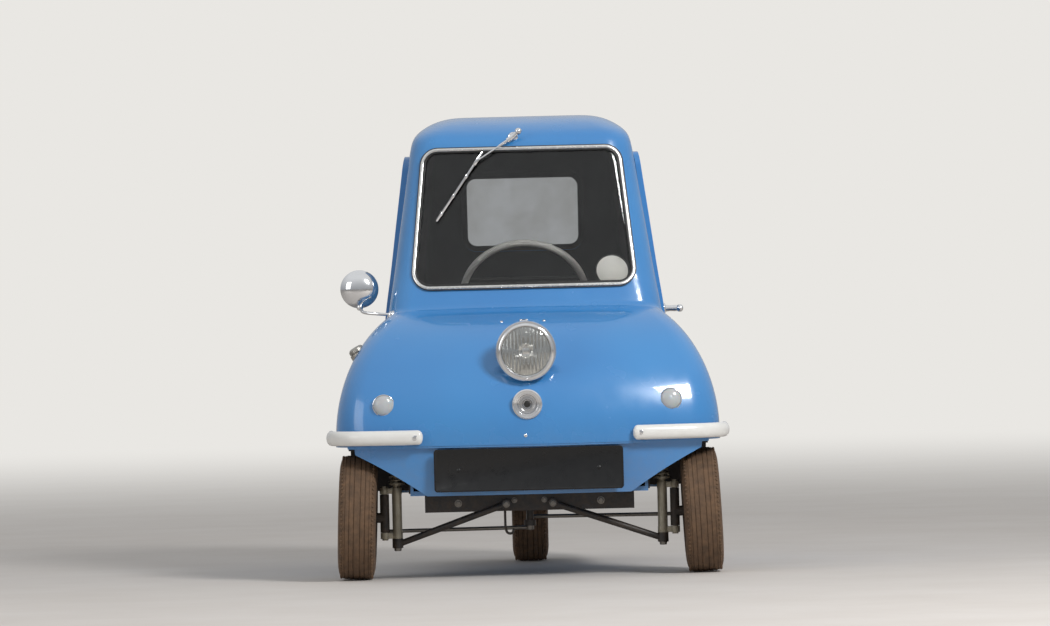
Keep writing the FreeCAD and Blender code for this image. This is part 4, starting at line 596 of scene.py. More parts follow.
bm = merged_copy(nodes["body_shell"].data)
bmesh.ops.bisect_plane(bm, geom=[*bm.verts, *bm.edges, *bm.faces], plane_co=(0, 0, ROOF_CUT * MM),
                       plane_no=(0, 0, 1), clear_outer=True)
just_under = (ROOF_CUT - 0.1) * MM
rim = [e for e in bm.edges if e.is_boundary and min(v.co.z for v in e.verts) > just_under]
caps = sorted(bmesh.ops.holes_fill(bm, edges=rim, sides=0)["faces"], key=lambda f: -f.calc_area())
print("cuts closed:", [(len(f.verts), round(f.calc_area(), 4)) for f in caps])
for face, top in zip(caps, (ROOF_TOP, CEILING)):
    crown(bm, face, top)
skin = finish_piece("body_skin", bm, "blue_paint", stands_for=("body_shell",), angle=32)

# %% [markdown]
# ## Finding the surface
# Small fittings have to sit on curved panels. A ray sent at a CAD node gives the point where it
# lands and the panel's slope there, which is how a fitter would offer the piece up to the panel.

# %% Ray on a node
from mathutils.bvhtree import BVHTree

trees = {}


def touch(node, start_mm, heading):
    """Where a ray first meets a CAD node, and the way that surface faces."""
    if node not in trees:
        mesh = nodes[node].data
        trees[node] = BVHTree.FromPolygons([v.co for v in mesh.vertices],
                                           [p.vertices for p in mesh.polygons])
    point, normal = trees[node].ray_cast(Vector(start_mm) * MM, Vector(heading))[:2]
    if normal.dot(Vector(heading)) > 0:
        normal = -normal
    return point, normal


def touch_front(node, x, z):
    """Where a fitting on the front of a node sits, seen from ahead, with x and z in mm."""
    return touch(node, (x, -900, z), BACKWARD)


def screw(bm, place, radius_mm, rise_mm):
    """A domed screw head on its shank."""
    r, h = radius_mm * MM, rise_mm * MM
    lathe(bm, [(0, h), (r * 0.4, h * 0.97), (r * 0.75, h * 0.75), (r * 0.96, h * 0.35), (r, 0),
               (r, -h), (0, -h)], place, 24)


print("on the bonnet at the headlamp:", touch_front("body_shell", 0, 700)[0])

# %% [markdown]
# ## Headlamp
# The single headlamp has a silvered dish, a bulb with a small shield before it, and a pressed
# glass. The glass is domed and smooth in front, and its back is ribbed upright, which spreads the
# beam to the sides. The ribs are waves laid on the back of a lathed disc.

# %% Dish, bulb and ribbed glass
LAMP_MM = Vector((0, -666.866, 583))
# radius of the glass's dome and how far it stands forward, the dish's depth and radius, in mm
DOME, DOME_OUT, DISH_DEPTH, DISH_RADIUS = 160, 14, 66, 63.5
lamp_place = facing(BACKWARD, LAMP_MM * MM)


def glass_dome(radius):
    """How far back the glass's front lies at a radius, in mm."""
    return -DOME_OUT + DOME - math.sqrt(DOME ** 2 - radius ** 2)


def ribbed_glass(edge=65.6, thick=3.2, rib_depth=0.7, rib_pitch=9.0, rings=40):
    """A domed disc with upright ribs on its back."""
    bm = bmesh.new()
    radii = [edge * k / rings for k in range(rings + 1)]
    front = [(r * MM, glass_dome(r) * MM) for r in radii]
    back = [(r * MM, (glass_dome(r) + thick) * MM) for r in reversed(radii)]
    lathe(bm, front + back, steps=200)
    for vert in bm.verts:
        radius = math.hypot(vert.co.x, vert.co.y) / MM
        if radius < edge - 2 and vert.co.z / MM > glass_dome(min(radius, edge)) + thick / 2:
            vert.co.z += rib_depth * MM * abs(math.sin(math.pi * vert.co.x / (rib_pitch * MM)))
    bmesh.ops.transform(bm, matrix=lamp_place, verts=bm.verts)
    finish_piece("lamp_glass", bm, "lamp_glass", stands_for=("headlamp_lens",), angle=50)


ribbed_glass()
bm = bmesh.new()
dish = [(r, DISH_DEPTH * (1 - (r / DISH_RADIUS) ** 2) + 2.5)
        for r in (9, 14, 20, 27, 34, 41, 48, 54, 59, 62.4)]
dish += [(r + 0.5, depth + 1.2) for r, depth in reversed(dish)]
turned(bm, dish + dish[:1], lamp_place, 72)
finish_piece("lamp_dish", bm, "silvered_dish")
bm = bmesh.new()
bulb = [(0, 22), (6, 23), (10, 28), (11.5, 35), (10, 43), (6.5, 50), (6.5, 66), (0, 66)]
turned(bm, bulb, lamp_place, 32)
finish_piece("lamp_bulb", bm, "lamp_glass")
bm = bmesh.new()
shield = [(0, 17), (9, 18), (13, 22), (14, 28), (13.4, 28), (12.4, 22.6), (8.6, 18.8), (0, 17.8)]
turned(bm, shield, lamp_place, 32)
for turn in (90, 210, 330):
    round_lamp = lamp_place @ Matrix.Rotation(math.radians(turn), 4, "Z")
    straight_bar(bm, round_lamp @ Vector((13.5 * MM, 0, 26 * MM)),
                 round_lamp @ Vector((34 * MM, 0, 46 * MM)), 0.9 * MM, 8)
finish_piece("lamp_shield", bm, "chrome_trim")
bm = bmesh.new()
screw(bm, facing((0, -1, -0.3), (LAMP_MM + Vector((0, -5.5, -73))) * MM), 3.6, 2.4)
bead = [(76.2, 5), (77.6, 6.5), (77.9, 9), (77.6, 11.8), (76.2, 13), (75, 13), (75, 5)]
turned(bm, bead + bead[:1], lamp_place, 72)
finish_piece("lamp_rim_bead", bm, "chrome_trim")

# %% [markdown]
# ## Horn
# The horn sits in a chromed collar. Its face is a stepped bell with two turned ridges, round a
# throat whose grille of concentric slots is black, as painted shade for the throat's depth.

# %% Horn ridges and throat
HORN_MM = Vector((0, -672.38, 447))
horn_place = facing(FORWARD, HORN_MM * MM)
bm = bmesh.new()
# radius and height of each ridge, and the radius of its own section, in mm
for radius, height, ridge in ((34.5, 12.75, 0.9), (28.2, 11.4, 0.9), (17.6, -7.4, 1.2)):
    angles = [k * math.pi / 5 for k in range(11)]
    turned(bm, [(radius + ridge * math.cos(a), height + ridge * math.sin(a)) for a in angles],
           horn_place, 56)
finish_piece("horn_ridges", bm, "chrome_trim")
# the grille is black: painted shade for the hollow throat behind it
bm = bmesh.new()
throat = [(0, 5.2), (2.2, 5.1), (2.6, 4.6), (3.4, 4.6), (3.8, 5.0), (5.0, 4.8), (5.4, 4.2), (6.2, 4.1),
          (6.6, 4.4), (8.2, 3.6), (8.6, 2.2), (8.4, 1.5), (0, 1.5)]
turned(bm, throat, horn_place, 40)
finish_piece("horn_throat", bm, "black_rubber")

# %% [markdown]
# ## Side and tail lamps
# Each is a moulded dome that snaps over a base, with a bright ring round its foot. Inside the
# dome run fine rings, which scatter the light of the bulb. The domes are lathed with those rings
# as low ridges, so they catch the light the way the mouldings do.

# %% Domes and their rings
def lamp_domes(node, lens, heading, half_mm, height_mm, radius, rise):
    """A pair of ringed domes with bright feet, on the front (-1) or the rear (1)."""
    low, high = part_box(node)
    front = (low[1] if heading < 0 else high[1]) / MM
    bm, ring_bm = bmesh.new(), bmesh.new()
    profile = [(0, 1.0), (0.16, 0.995), (0.3, 0.97), (0.44, 0.93), (0.58, 0.86), (0.7, 0.77),
               (0.8, 0.65), (0.88, 0.5), (0.93, 0.3), (0.95, 0.06), (0.95, -1.5)]
    outline = []
    for (share, up), (after, next_up) in zip(profile, profile[1:]):
        outline.append((share * radius, up * rise))
        if 0.1 < share < 0.9:
            outline.append(((share * 0.7 + after * 0.3) * radius,
                            (up * 0.7 + next_up * 0.3) * rise - 0.35))
    outline.append((profile[-1][0] * radius, profile[-1][1] * rise))
    foot = [(0.955, -1.5), (0.96, 0.14), (0.985, 0.2), (1.02, 0.17), (1.045, 0.02), (1.05, -1.5)]
    for side in (-1, 1):
        at = Vector((side * half_mm, front - heading * rise, height_mm)) * MM
        place = facing((0, heading, 0), at)
        turned(bm, outline, place, 56)
        turned(ring_bm, [(share * radius, up * rise) for share, up in foot + foot[:1]], place, 56)
    finish_piece(node + "_domes", bm, lens, stands_for=(node,))
    finish_piece(node + "_rings", ring_bm, "chrome_trim")


lamp_domes("side_lamps", "white_lens", -1, 368.5, 451, 28, 14)
lamp_domes("tail_lamps", "red_lens", 1, 205, 470, 30, 12)

# %% [markdown]
# ## Screws and washer jet
# Bright screws hold the bonnet's ledge and, with flush heads, the bumpers. Above the headlamp sits
# a twin-nozzle washer jet between two screws.

# %% Screws and jet
# node, x, z, radius and rise in mm
SCREWS = (("front_bumpers", -289, 368, 6.5, 0.4), ("front_bumpers", 289, 368, 6.5, 0.4),
          ("body_shell", -61, 658, 4.2, 2.6), ("body_shell", 49, 658, 4.2, 2.6),
          ("body_shell", -6, 367, 4.5, 1.8))
bm = bmesh.new()
for node, x, z, radius, rise in SCREWS:
    point, normal = touch_front(node, x, z)
    if node == "front_bumpers":
        normal = FORWARD
    screw(bm, facing(normal, point), radius, rise)
finish_piece("front_screws", bm, "chrome_trim")

bm = bmesh.new()
point, normal = touch_front("body_shell", -4, 656)
jet = facing(normal, point)
turned(bm, ((0, 6), (5, 5.6), (8, 4), (10, 1.2), (10.6, -1), (0, -1)), jet, 32)
for side in (-1, 1):
    place = jet @ Matrix.Translation(Vector((side * 7.5, 1, 2)) * MM)
    turned(bm, ((0, 6), (1.8, 5.8), (3, 4.8), (3.6, 3), (3.6, -2), (0, -2)), place, 20)
finish_piece("washer_jet", bm, "chrome_trim")

# %% [markdown]
# ## Number plate
# The number plate is a blank black pressing with round corners and a raised rim, on two domed
# bolts. A rounded block gets its face inset twice, which leaves the rim standing.

# %% Number plate
PLATE_HALF, PLATE_LOW, PLATE_HIGH, PLATE_FRONT, PLATE_THICK = 243, 226, 336, -673.539, 2
PLATE_BOLT_X = 180


def rounded_plate(bm, centre, size, corner, edge):
    """A plate square to Y with round corners and softened edges."""
    verts = bmesh.ops.create_cube(bm, size=1.0)["verts"]
    bmesh.ops.scale(bm, vec=size, verts=verts)
    upright = [e for e in bm.edges if abs((e.verts[0].co - e.verts[1].co).normalized().y) > 0.9]
    bmesh.ops.bevel(bm, geom=upright, offset=corner, offset_type="OFFSET", affect="EDGES",
                    segments=6, profile=0.5, material=-1)
    rest = [e for e in bm.edges if e.calc_face_angle(0) > 1.2]
    bmesh.ops.bevel(bm, geom=rest, offset=edge, offset_type="OFFSET", affect="EDGES",
                    segments=2, profile=0.5, material=-1)
    bmesh.ops.translate(bm, vec=centre, verts=bm.verts)


bm = bmesh.new()
plate_middle_z = (PLATE_LOW + PLATE_HIGH) / 2
rounded_plate(bm, Vector((0, PLATE_FRONT + PLATE_THICK / 2, plate_middle_z)) * MM,
              Vector((PLATE_HALF * 2, PLATE_THICK, PLATE_HIGH - PLATE_LOW)) * MM, 9 * MM, 0.5 * MM)
face = max((f for f in bm.faces if f.normal.y < -0.9), key=lambda f: f.calc_area())
bmesh.ops.inset_region(bm, faces=[face], thickness=4 * MM, depth=0.0)
bmesh.ops.inset_region(bm, faces=[face], thickness=1 * MM, depth=-0.6 * MM)
for side in (-1, 1):
    bolt = Vector((side * PLATE_BOLT_X, PLATE_FRONT + PLATE_THICK, plate_middle_z)) * MM
    straight_bar(bm, bolt, bolt + Vector((0, 12 * MM, 0)), 7 * MM, 24)
finish_piece("plate_blank", bm, "black_plate", stands_for=("number_plate_front",))
bm = bmesh.new()
for side in (-1, 1):
    bolt = Vector((side * PLATE_BOLT_X, PLATE_FRONT + 0.5, plate_middle_z)) * MM
    screw(bm, facing(FORWARD, bolt), 5.5, 2.4)
finish_piece("plate_bolts", bm, "black_plate")

# %% [markdown]
# ## Wiper
# A chromed boss carries a thin spring arm, cranked down to the blade's middle clip. The blade is a
# bright channel that grips a black rubber edge, and it lies on the glass.

# %% Wiper
# how far the arm's head stands off its pivot, in mm, and shares of the way from head to knee
HEAD_OUT, ROOT_END, ARM_START, SPRING_LAP = 20, 0.16, 0.38, 0.1
# how far the blade runs on past the knee, as a share of its lower part, and where its clips sit
BLADE_OVER, CLIPS = 0.16, (0.1, 0.36, 0.64, 0.9)


def over_screen(x, z, out):
    """A point that stands out from the glass, in mm."""
    return touch_front("windscreen_glass", x, z)[0] + Vector((0, -out * MM, 0))


pivot = touch_front("body_shell", -20, 1138)[0]
knee = over_screen(-118, 1076, 17)
tip = over_screen(-225, 922, 12)
blade_top = knee + (knee - tip) * BLADE_OVER
head = pivot + Vector((0, -HEAD_OUT * MM, 0))
along = tip - blade_top
spine = blade_top + along / 2
clip = (tip - knee).to_track_quat("Z", "Y").to_matrix().to_4x4()
lengthwise = along.to_track_quat("Z", "Y").to_matrix().to_4x4()
bm = bmesh.new()
boss = [(0, 24), (4, 23.6), (6.4, 22), (7, 19), (7, 15), (8.6, 14), (9, 12), (9, 5), (12.5, 3),
        (13, 0), (13, -8), (0, -8)]
turned(bm, boss, facing(FORWARD, pivot), 36)
root_top = head + Vector((14, 1, 14)) * MM
root_low = head + (knee - head) * ROOT_END
bent_rod(bm, [root_top, head, root_low], 6.5 * MM, 6 * MM)
turned(bm, ((0, 10), (4, 9.4), (7.4, 7), (9, 3), (9, -3), (7, -6), (0, -7)),
       facing(FORWARD, root_top), 28)
arm_start = head + (knee - head) * ARM_START
straight_bar(bm, head, arm_start, 3.6 * MM, 12)
straight_bar(bm, arm_start + (head - arm_start) * SPRING_LAP, knee, 2.2 * MM, 12)
block(bm, knee, (7 * MM, 9 * MM, 22 * MM), 1.2 * MM, clip)
finish_piece("wiper_arm", bm, "chrome_trim", stands_for=("wiper",))
bm = bmesh.new()
block(bm, spine + Vector((0, 1.5 * MM, 0)), (4.2 * MM, 6 * MM, along.length), 1.2 * MM, lengthwise)
for share in CLIPS:
    block(bm, blade_top + along * share + Vector((0, 2 * MM, 0)), (7.4 * MM, 7.6 * MM, 9 * MM),
          0.9 * MM, clip)
finish_piece("wiper_channel", bm, "chrome_trim")
bm = bmesh.new()
block(bm, spine + Vector((0, 6.4 * MM, 0)), (2 * MM, 7 * MM, along.length * 1.01), 0.5 * MM,
      lengthwise)
finish_piece("wiper_rubber", bm, "black_rubber")

# %% [markdown]
# ## Mirror
# A round mirror on a bent stalk: a pressed chrome bowl faces forward, and a flat glass in a rolled
# rim faces back to the seat. The stalk is a solid bar bent twice, clamped in a ball joint under the
# bowl, and ends in a small flange on the shoulder of the body.

# %% Mirror
MIRROR_MM = Vector((-430, -330, 750))
bm = bmesh.new()
bowl = [(0, -15.5), (14, -14.6), (26, -11.6), (36, -6.6), (43, -0.5), (47.5, 6), (49.2, 10),
        (49.8, 12), (49.2, 13.6), (47.6, 13.4), (46.8, 12), (0, 11.4)]
turned(bm, bowl, facing(BACKWARD, MIRROR_MM * MM), 64)
turned(bm, ((0, 9), (5, 8), (8, 4), (9, 0), (8, -4), (5, -8), (0, -9)),
       facing((0, 0, 1), (MIRROR_MM + Vector((0, 6, -47))) * MM), 24)
foot, slope = touch("body_shell", (-900, -372, 682), (1, 0, 0))
start = (MIRROR_MM + Vector((2, 6, -44))) * MM
low_end = Vector((-418, -352, 688)) * MM
outer = foot + Vector((-26 * MM, 0, 2 * MM))
points = [start, start + Vector((1, -2, -12)) * MM, low_end, outer, foot + Vector((4 * MM, 0, 0))]
bent_rod(bm, points, 4 * MM, 22 * MM)
turned(bm, ((0, 7), (6, 7), (8, 4), (13, 2.4), (14, 0), (14, -12), (0, -12)),
       facing(slope, foot), 32)
finish_piece("mirror_bowl", bm, "chrome_trim", stands_for=("mirror",))
bm = bmesh.new()
turned(bm, ((0, 12.5), (46, 12.5), (46.6, 12), (46.6, 11), (0, 11)),
       facing(BACKWARD, MIRROR_MM * MM), 64)
finish_piece("mirror_glass", bm, "silvered_dish")

# %% [markdown]
# ## Door handle and hinge screws
# The handle is a die-cast lever with a thicker bright end, on a round rose. Screws hold the hinge
# leaves. The rose and the post are lathed, and the lever is a rod through four points.

# %% Handle and hinge screws
OUTBOARD, INBOARD = (1, 0, 0), (-1, 0, 0)
HANDLE_Y, HANDLE_Z, HANDLE_OUT = -205, 680, 44
bm = bmesh.new()
rose = touch("door_panel", (900, HANDLE_Y, HANDLE_Z), INBOARD)[0]
turned(bm, ((0, 7), (8, 7), (10.5, 5.5), (13, 5), (14.6, 3), (15, 0), (15, -6), (0, -6)),
       facing(OUTBOARD, rose), 32)
turned(bm, ((0, 40), (7.4, 40), (8.2, 30), (7.6, 18), (8.8, 8), (9.4, 2), (0, 2)),
       facing(OUTBOARD, rose), 28)
post_end = rose + Vector((HANDLE_OUT, 0, 0)) * MM
lever = [post_end + Vector(step) * MM
         for step in ((-3, -12, 0), (1, 20, 0), (-2, 58, -1), (-7, 78, -2))]
bent_rod(bm, lever, 6.2 * MM, 18 * MM, 20)
turned(bm, ((0, 9), (4.4, 8.6), (8.2, 6), (9.8, 2), (9.8, -2), (8.2, -6), (0, -8.5)),
       facing(OUTBOARD, post_end + Vector((-1, -8, 0)) * MM), 28)
finish_piece("handle_lever", bm, "chrome_trim", "door", stands_for=("door_handle",))

# leaf node, its body, and whether its screws sit fore (-1) or aft (1) of the pin
HINGE_LEAVES = (("door_hinge_leaves", "door", -1), ("body_hinge_leaves", "root", 1))
HINGE_PIN_Y, HINGE_HEIGHTS, SCREWS_ALONG = 229, (590, 960), (17, 33)
for node, body, way in HINGE_LEAVES:
    bm = bmesh.new()
    for height in HINGE_HEIGHTS:
        rises = (0,) if body == "door" else (-18, 18)
        for along in SCREWS_ALONG:
            for rise in rises:
                start = (900, HINGE_PIN_Y + way * along, height + rise)
                point, normal = touch(node, start, INBOARD)
                screw(bm, facing(normal, point), 3.4, 1.6)
    finish_piece(node + "_screws", bm, "chrome_trim", body)

# %% [markdown]
# ## Fuel cap
# The cap is turned from alloy, with a knurled edge for the fingers, and stands on the wing at the
# slope of its filler neck. One ridge of the knurl is modelled and spun round as copies.

# %% Fuel cap
CAP_X, CAP_Y, CAP_RIDGES = -435, -470, 30
cap_up = Vector((-0.5, 0, 0.85)).normalized()
seat = touch("body_shell", (CAP_X, CAP_Y, 1000), (0, 0, -1))[0]
bm = bmesh.new()
profile = [(0, 16), (6, 15.9), (12, 15.4), (16, 14), (18, 12), (19.2, 11), (19.6, 9), (19.6, 3),
           (18, 1.5), (21.5, 0.5), (22.5, -2), (22.5, -16), (0, -16)]
cap_place = facing(cap_up, seat)
turned(bm, profile, cap_place, 60)
ridge_bm = bmesh.new()
block(ridge_bm, (19.8 * MM, 0, 6 * MM), (1.8 * MM, 2 * MM, 7 * MM), 0.5 * MM, segments=1)
copy_round(ridge_bm, list(ridge_bm.faces), CAP_RIDGES)
bmesh.ops.transform(ridge_bm, matrix=cap_place, verts=ridge_bm.verts)
finish_piece("fuel_cap_turned", bm, "alloy", stands_for=("fuel_cap",))
finish_piece("fuel_cap_knurl", ridge_bm, "alloy")

# %% [markdown]
# ## Lifting bail
# The tail is lifted by hand to turn the car round, so its chromed bail is a bent bar with a wide
# flange and two screws at each foot.

# %% Bail and flanges
BAIL_HALF, BAIL_HEIGHT, BAIL_RADIUS, BAIL_OUT = 70, 610, 7, 39.5
bm = bmesh.new()
feet = [touch("body_shell", (side * BAIL_HALF, 900, BAIL_HEIGHT), FORWARD) for side in (-1, 1)]
out_y = max(point.y for point, normal in feet) + BAIL_OUT * MM
corners = [Vector((point.x, out_y, point.z)) for point, normal in feet]
bent_rod(bm, [feet[0][0], corners[0], corners[1], feet[1][0]], BAIL_RADIUS * MM, 16 * MM, 24)
for point, normal in feet:
    turned(bm, ((0, 6), (9, 5.6), (10, 3.6), (20, 2.8), (21, 1.6), (21, -5), (0, -5)),
           facing(normal, point), 32)
finish_piece("bail_bar", bm, "chrome_trim", stands_for=("lifting_bail",))
bm = bmesh.new()
for point, normal in feet:
    place = facing(normal, point)
    for side in (-1, 1):
        screw(bm, place @ Matrix.Translation((0, side * 15 * MM, 2.8 * MM)), 2.8, 1.4)
finish_piece("bail_screws", bm, "bare_steel")

# %% [markdown]
# ## Front legs and springs
# The front wheels hang on legs like those of a scooter: a sprayed tube with a coil spring round
# its upper half, and two lugs that hold the kingpin. Each coil is one wire: a small circle swept
# round the leg while it climbs, with its last turn lying flat, as a spring winder makes it.

# %% Legs with real coils
STRUT_X, KINGPIN_X, FRONT_Y = 343, 375, -496
LUG_HEIGHTS, COIL_FOOT, COIL_HEIGHT = (112, 228), 250, 88
# profiles of (radius, height) in mm
LEG_TUBE = ((0, 104), (13, 104), (13.6, 106), (13.6, 118), (12.6, 121), (12.6, 218), (13.6, 222),
            (13.6, 233), (12.8, 236), (9.4, 237), (9.4, 243), (20.6, 243.4), (21.4, 246),
            (20.6, 249.4), (9.4, 249.4), (9.2, 336), (19.6, 339.6), (20.4, 342), (19.6, 344),
            (9.4, 345), (9.2, 362.6), (0, 362.6))
KINGPIN = ((0, 104), (11.6, 104), (12, 105), (12, 119), (11.6, 120), (7, 120), (7, 220),
           (11.6, 220), (12, 221), (12, 235), (11.6, 236), (0, 236))


def coil(bm, foot_mm, radius, wire, height, turns, steps=20):
    """A wire wound up from a foot, in mm. The radius is to the wire's middle."""
    foot = Vector(foot_mm) * MM
    start = foot + Vector((radius, 0, wire)) * MM
    made = bmesh.ops.create_circle(bm, cap_ends=True, segments=10, radius=wire * MM,
                                   matrix=facing(BACKWARD, start))
    face = made["verts"][0].link_faces[0]
    climb = (height - 2 * wire) / (turns - 1)
    for share, rise in ((0.5, 0), (turns - 1, climb), (0.5, 0)):
        count = int(steps * share)
        spun = bmesh.ops.spin(bm, geom=[face, *face.edges], cent=foot, axis=(0, 0, 1),
                              angle=2 * math.pi * share, steps=count,
                              dvec=(0, 0, rise * MM * share / count), use_merge=False)
        face = next(item for item in spun["geom_last"] if isinstance(item, bmesh.types.BMFace))


bm, springs = bmesh.new(), bmesh.new()
for side in SIDES:
    leg = Matrix.Translation(Vector((side * STRUT_X, FRONT_Y, 0)) * MM)
    turned(bm, LEG_TUBE, leg, 32)
    pin = Matrix.Translation(Vector((side * KINGPIN_X, FRONT_Y, 0)) * MM)
    turned(bm, KINGPIN, pin, 32)
    for z in LUG_HEIGHTS:
        block(bm, Vector((side * (STRUT_X + KINGPIN_X) / 2, FRONT_Y, z)) * MM,
              Vector((KINGPIN_X - STRUT_X, 15, 15)) * MM, 1.6 * MM)
    for low, height in ((100, 4), (236, 4.5)):
        turned(bm, ((0, height), (7, height), (8, height - 1), (8, 0), (0, 0)),
               pin @ Matrix.Translation((0, 0, low * MM)), 6)
    coil(springs, (side * STRUT_X, FRONT_Y, COIL_FOOT), 16.6, 2.6, COIL_HEIGHT, 8)
finish_piece("strut_legs", bm, "strut_paint", stands_for=("front_struts",))
finish_piece("strut_springs", springs, "strut_paint")

# %% [markdown]
# ## Rear springs
# The rear fork pushes on two short coil springs with a washer at each end and a guide rod inside.
# They are wound by the same function as the front ones, with a thinner wire.

# %% Rear springs
SPRING_X, SPRING_Y, SPRING_TOP, WASHER = 78, 425, 380, 4
bm = bmesh.new()
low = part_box("rear_springs")[0][2] / MM
for side in SIDES:
    coil(bm, (side * SPRING_X, SPRING_Y, low + WASHER), 9.6, 1.9, SPRING_TOP - low - 2 * WASHER, 12)
    spring = Matrix.Translation(Vector((side * SPRING_X, SPRING_Y, 0)) * MM)
    for z in (low, SPRING_TOP - WASHER):
        turned(bm, ((0, z), (12, z), (12, z + WASHER - 0.6), (11, z + WASHER), (0, z + WASHER)),
               spring, 28)
    straight_bar(bm, spring @ Vector((0, 0, (low + 1) * MM)),
                 spring @ Vector((0, 0, (SPRING_TOP - 1) * MM)), 5.5 * MM)
finish_piece("rear_coils", bm, "strut_paint", stands_for=("rear_springs",))

# %% [markdown]
# ## Bolts and hook under the nose
# Bolts with washers hold the lower arms' brackets to the crossmember, and a small hook of bent bar
# hangs under it. Every arm ends in a nut under its boss. Bolt heads are hexagons lathed in six
# steps, with a chamfer.

# %% Crossmember bolts, arm nuts and hook
def hex_head(bm, place, across, height, washer):
    """A hexagon head over a washer, with its width over flats and the washer's radius in mm."""
    corner = across / math.sqrt(3)
    turned(bm, ((0, height), (corner * 0.8, height), (corner, height * 0.8), (corner, 0), (0, 0)),
           place, 6)
    turned(bm, ((0, 1.4), (washer, 1.4), (washer, -0.5), (0, -0.5)), place, 28)


CROSS_FRONT, ARM_EYE_X, ARM_EYE_Z, ARM_EYE_FRONT, ARM_END_LOW = -530, 60, 188, -552, 80
# x, z and width over flats, in mm
CROSS_BOLTS = ((-184, 192, 13), (-39, 197, 10), (38, 197, 10), (184, 192, 13))
bm = bmesh.new()
for x, z, across in CROSS_BOLTS:
    hex_head(bm, facing(FORWARD, Vector((x, CROSS_FRONT, z)) * MM), across, 6, across * 0.75)
finish_piece("crossmember_bolts", bm, "bare_steel")
bm = bmesh.new()
for side in SIDES:
    eye = Vector((side * ARM_EYE_X, ARM_EYE_FRONT, ARM_EYE_Z)) * MM
    end = Vector((side * STRUT_X, FRONT_Y, ARM_END_LOW)) * MM
    hex_head(bm, facing(FORWARD, eye), 14, 6, 9)
    hex_head(bm, facing((0, 0, -1), end), 16, 8, 11)
finish_piece("arm_nuts", bm, "bare_steel")
bm = bmesh.new()
HOOK_Y = -512
hook = ((-64, 172), (-64, 128), (-60, 112), (-46, 110), (-42, 124))
bent_rod(bm, [Vector((x, HOOK_Y, z)) * MM for x, z in hook], 3.2 * MM, 9 * MM, 12)
finish_piece("towing_hook", bm, "chassis_paint")

# %% [markdown]
# ## Wheel nuts, grease caps and valves
# Each pressed wheel is held by four nuts with washers, and a bent valve stem comes through the
# well. The front hubs end in spun grease caps.

# %% Nuts, caps and valves
NUT_CIRCLE, NUT_SEAT = 34, 8.4
GREASE_CAP = ((0, 48), (6, 47.6), (12, 46), (15.6, 43), (17, 39), (17.4, 30.4), (21, 30), (21, 27),
              (0, 27))
# (from the axle, across it, along it) in mm
VALVE = ((60.5, 0, 14), (53, 0, 15), (47, 0, 22), (45, 0, 31))
for name, body, side, x, y, camber in WHEELS:
    place = wheel_place(side, x, y, camber)
    bm = bmesh.new()
    for quarter in range(4):
        turn = Matrix.Rotation(math.radians(45 + 90 * quarter), 4, "Z")
        at = Matrix.Translation((NUT_CIRCLE * MM, 0, NUT_SEAT * MM))
        hex_head(bm, place @ turn @ at, 12, 8, 9)
    if camber:
        turned(bm, GREASE_CAP, place, 40)
    finish_piece("hub_nuts_" + name, bm, "chrome_trim", body)
    bm = bmesh.new()
    bent_rod(bm, [place @ (Vector(point) * MM) for point in VALVE], 3 * MM, 6 * MM, 12)
    finish_piece("valve_" + name, bm, "black_rubber", body)

# %% [markdown]
# ## Steering wheel
# The wheel is a steel hoop under grey plastic, with finger waves on its far side, two sheet spokes
# and a hub under a plain cap. The plastic reads as one piece, so the hoop is a spun circle whose
# underside is pushed in and out by a wave.

# %% Steering wheel
WHEEL_CENTRE_MM, COLUMN_RISE = Vector((0, -170, 720)), math.radians(30)
column_up = Vector((0, math.cos(COLUMN_RISE), math.sin(COLUMN_RISE)))
column_place = facing(column_up, WHEEL_CENTRE_MM * MM)
RIM, GRIP, FINGER_WAVES, WAVE_DEPTH = 162, 8.8, 54, 0.9
bm = bmesh.new()
angles = [k * math.pi / 9 for k in range(19)]
turned(bm, [(RIM + GRIP * math.cos(a), GRIP * math.sin(a)) for a in angles], steps=216)
for vert in bm.verts:
    if vert.co.z < -0.3 * GRIP * MM:
        angle = math.atan2(vert.co.y, vert.co.x)
        wave = max(0, math.sin(FINGER_WAVES * angle)) * abs(vert.co.z) / (GRIP * MM)
        vert.co.z += WAVE_DEPTH * MM * wave
bmesh.ops.transform(bm, matrix=column_place, verts=bm.verts)
finish_piece("steering_hoop", bm, "grey_plastic", "steering_wheel", stands_for=("steering_wheel",))
bm = bmesh.new()
for side in (-1, 1):
    block(bm, column_place @ (Vector((side * 90, 0, -4)) * MM), Vector((134, 20, 4)) * MM, 1.4 * MM,
          column_place.to_3x3().to_4x4())
hub = [(0, 7), (9, 6.6), (17, 4.6), (18, 2.4), (24, 2), (27.4, -1), (28, -8), (24, -15),
       (15, -19.6), (8.9, -20), (8.9, -300), (0, -300)]
turned(bm, hub, column_place, 48)
finish_piece("steering_hub", bm, "dark_trim", "steering_wheel")

# %% [markdown]
# ## Window seals
# Every pane sits in an extruded rubber strip. The strip follows the pane's outline, so circles are
# set up square to it at points that a ray finds on the glass, and each is bridged to the next.

# %% Seals
def outline(points, corner, across=10):
    """Points (u, v) round an outline whose corners are arcs of so many steps."""
    ring = []
    for before, here, after in zip(points[-1:] + points[:-1], points, points[1:] + points[:1]):
        here, before, after = Vector(here), Vector(before), Vector(after)
        first, last = (before - here).normalized(), (after - here).normalized()
        half = first.angle(last) / 2
        back = corner / math.tan(half)
        centre = here + (first + last).normalized() * corner / math.sin(half)
        start, end = here + first * back, here + last * back
        sweep = (start - centre).angle_signed(end - centre)
        for k in range(across + 1):
            ring.append(centre + Matrix.Rotation(-sweep * k / across, 2) @ (start - centre))
        run = (after - last * corner / math.tan(half)) - end
        ring += [end + run * share for share in (0.25, 0.5, 0.75)]
    return ring


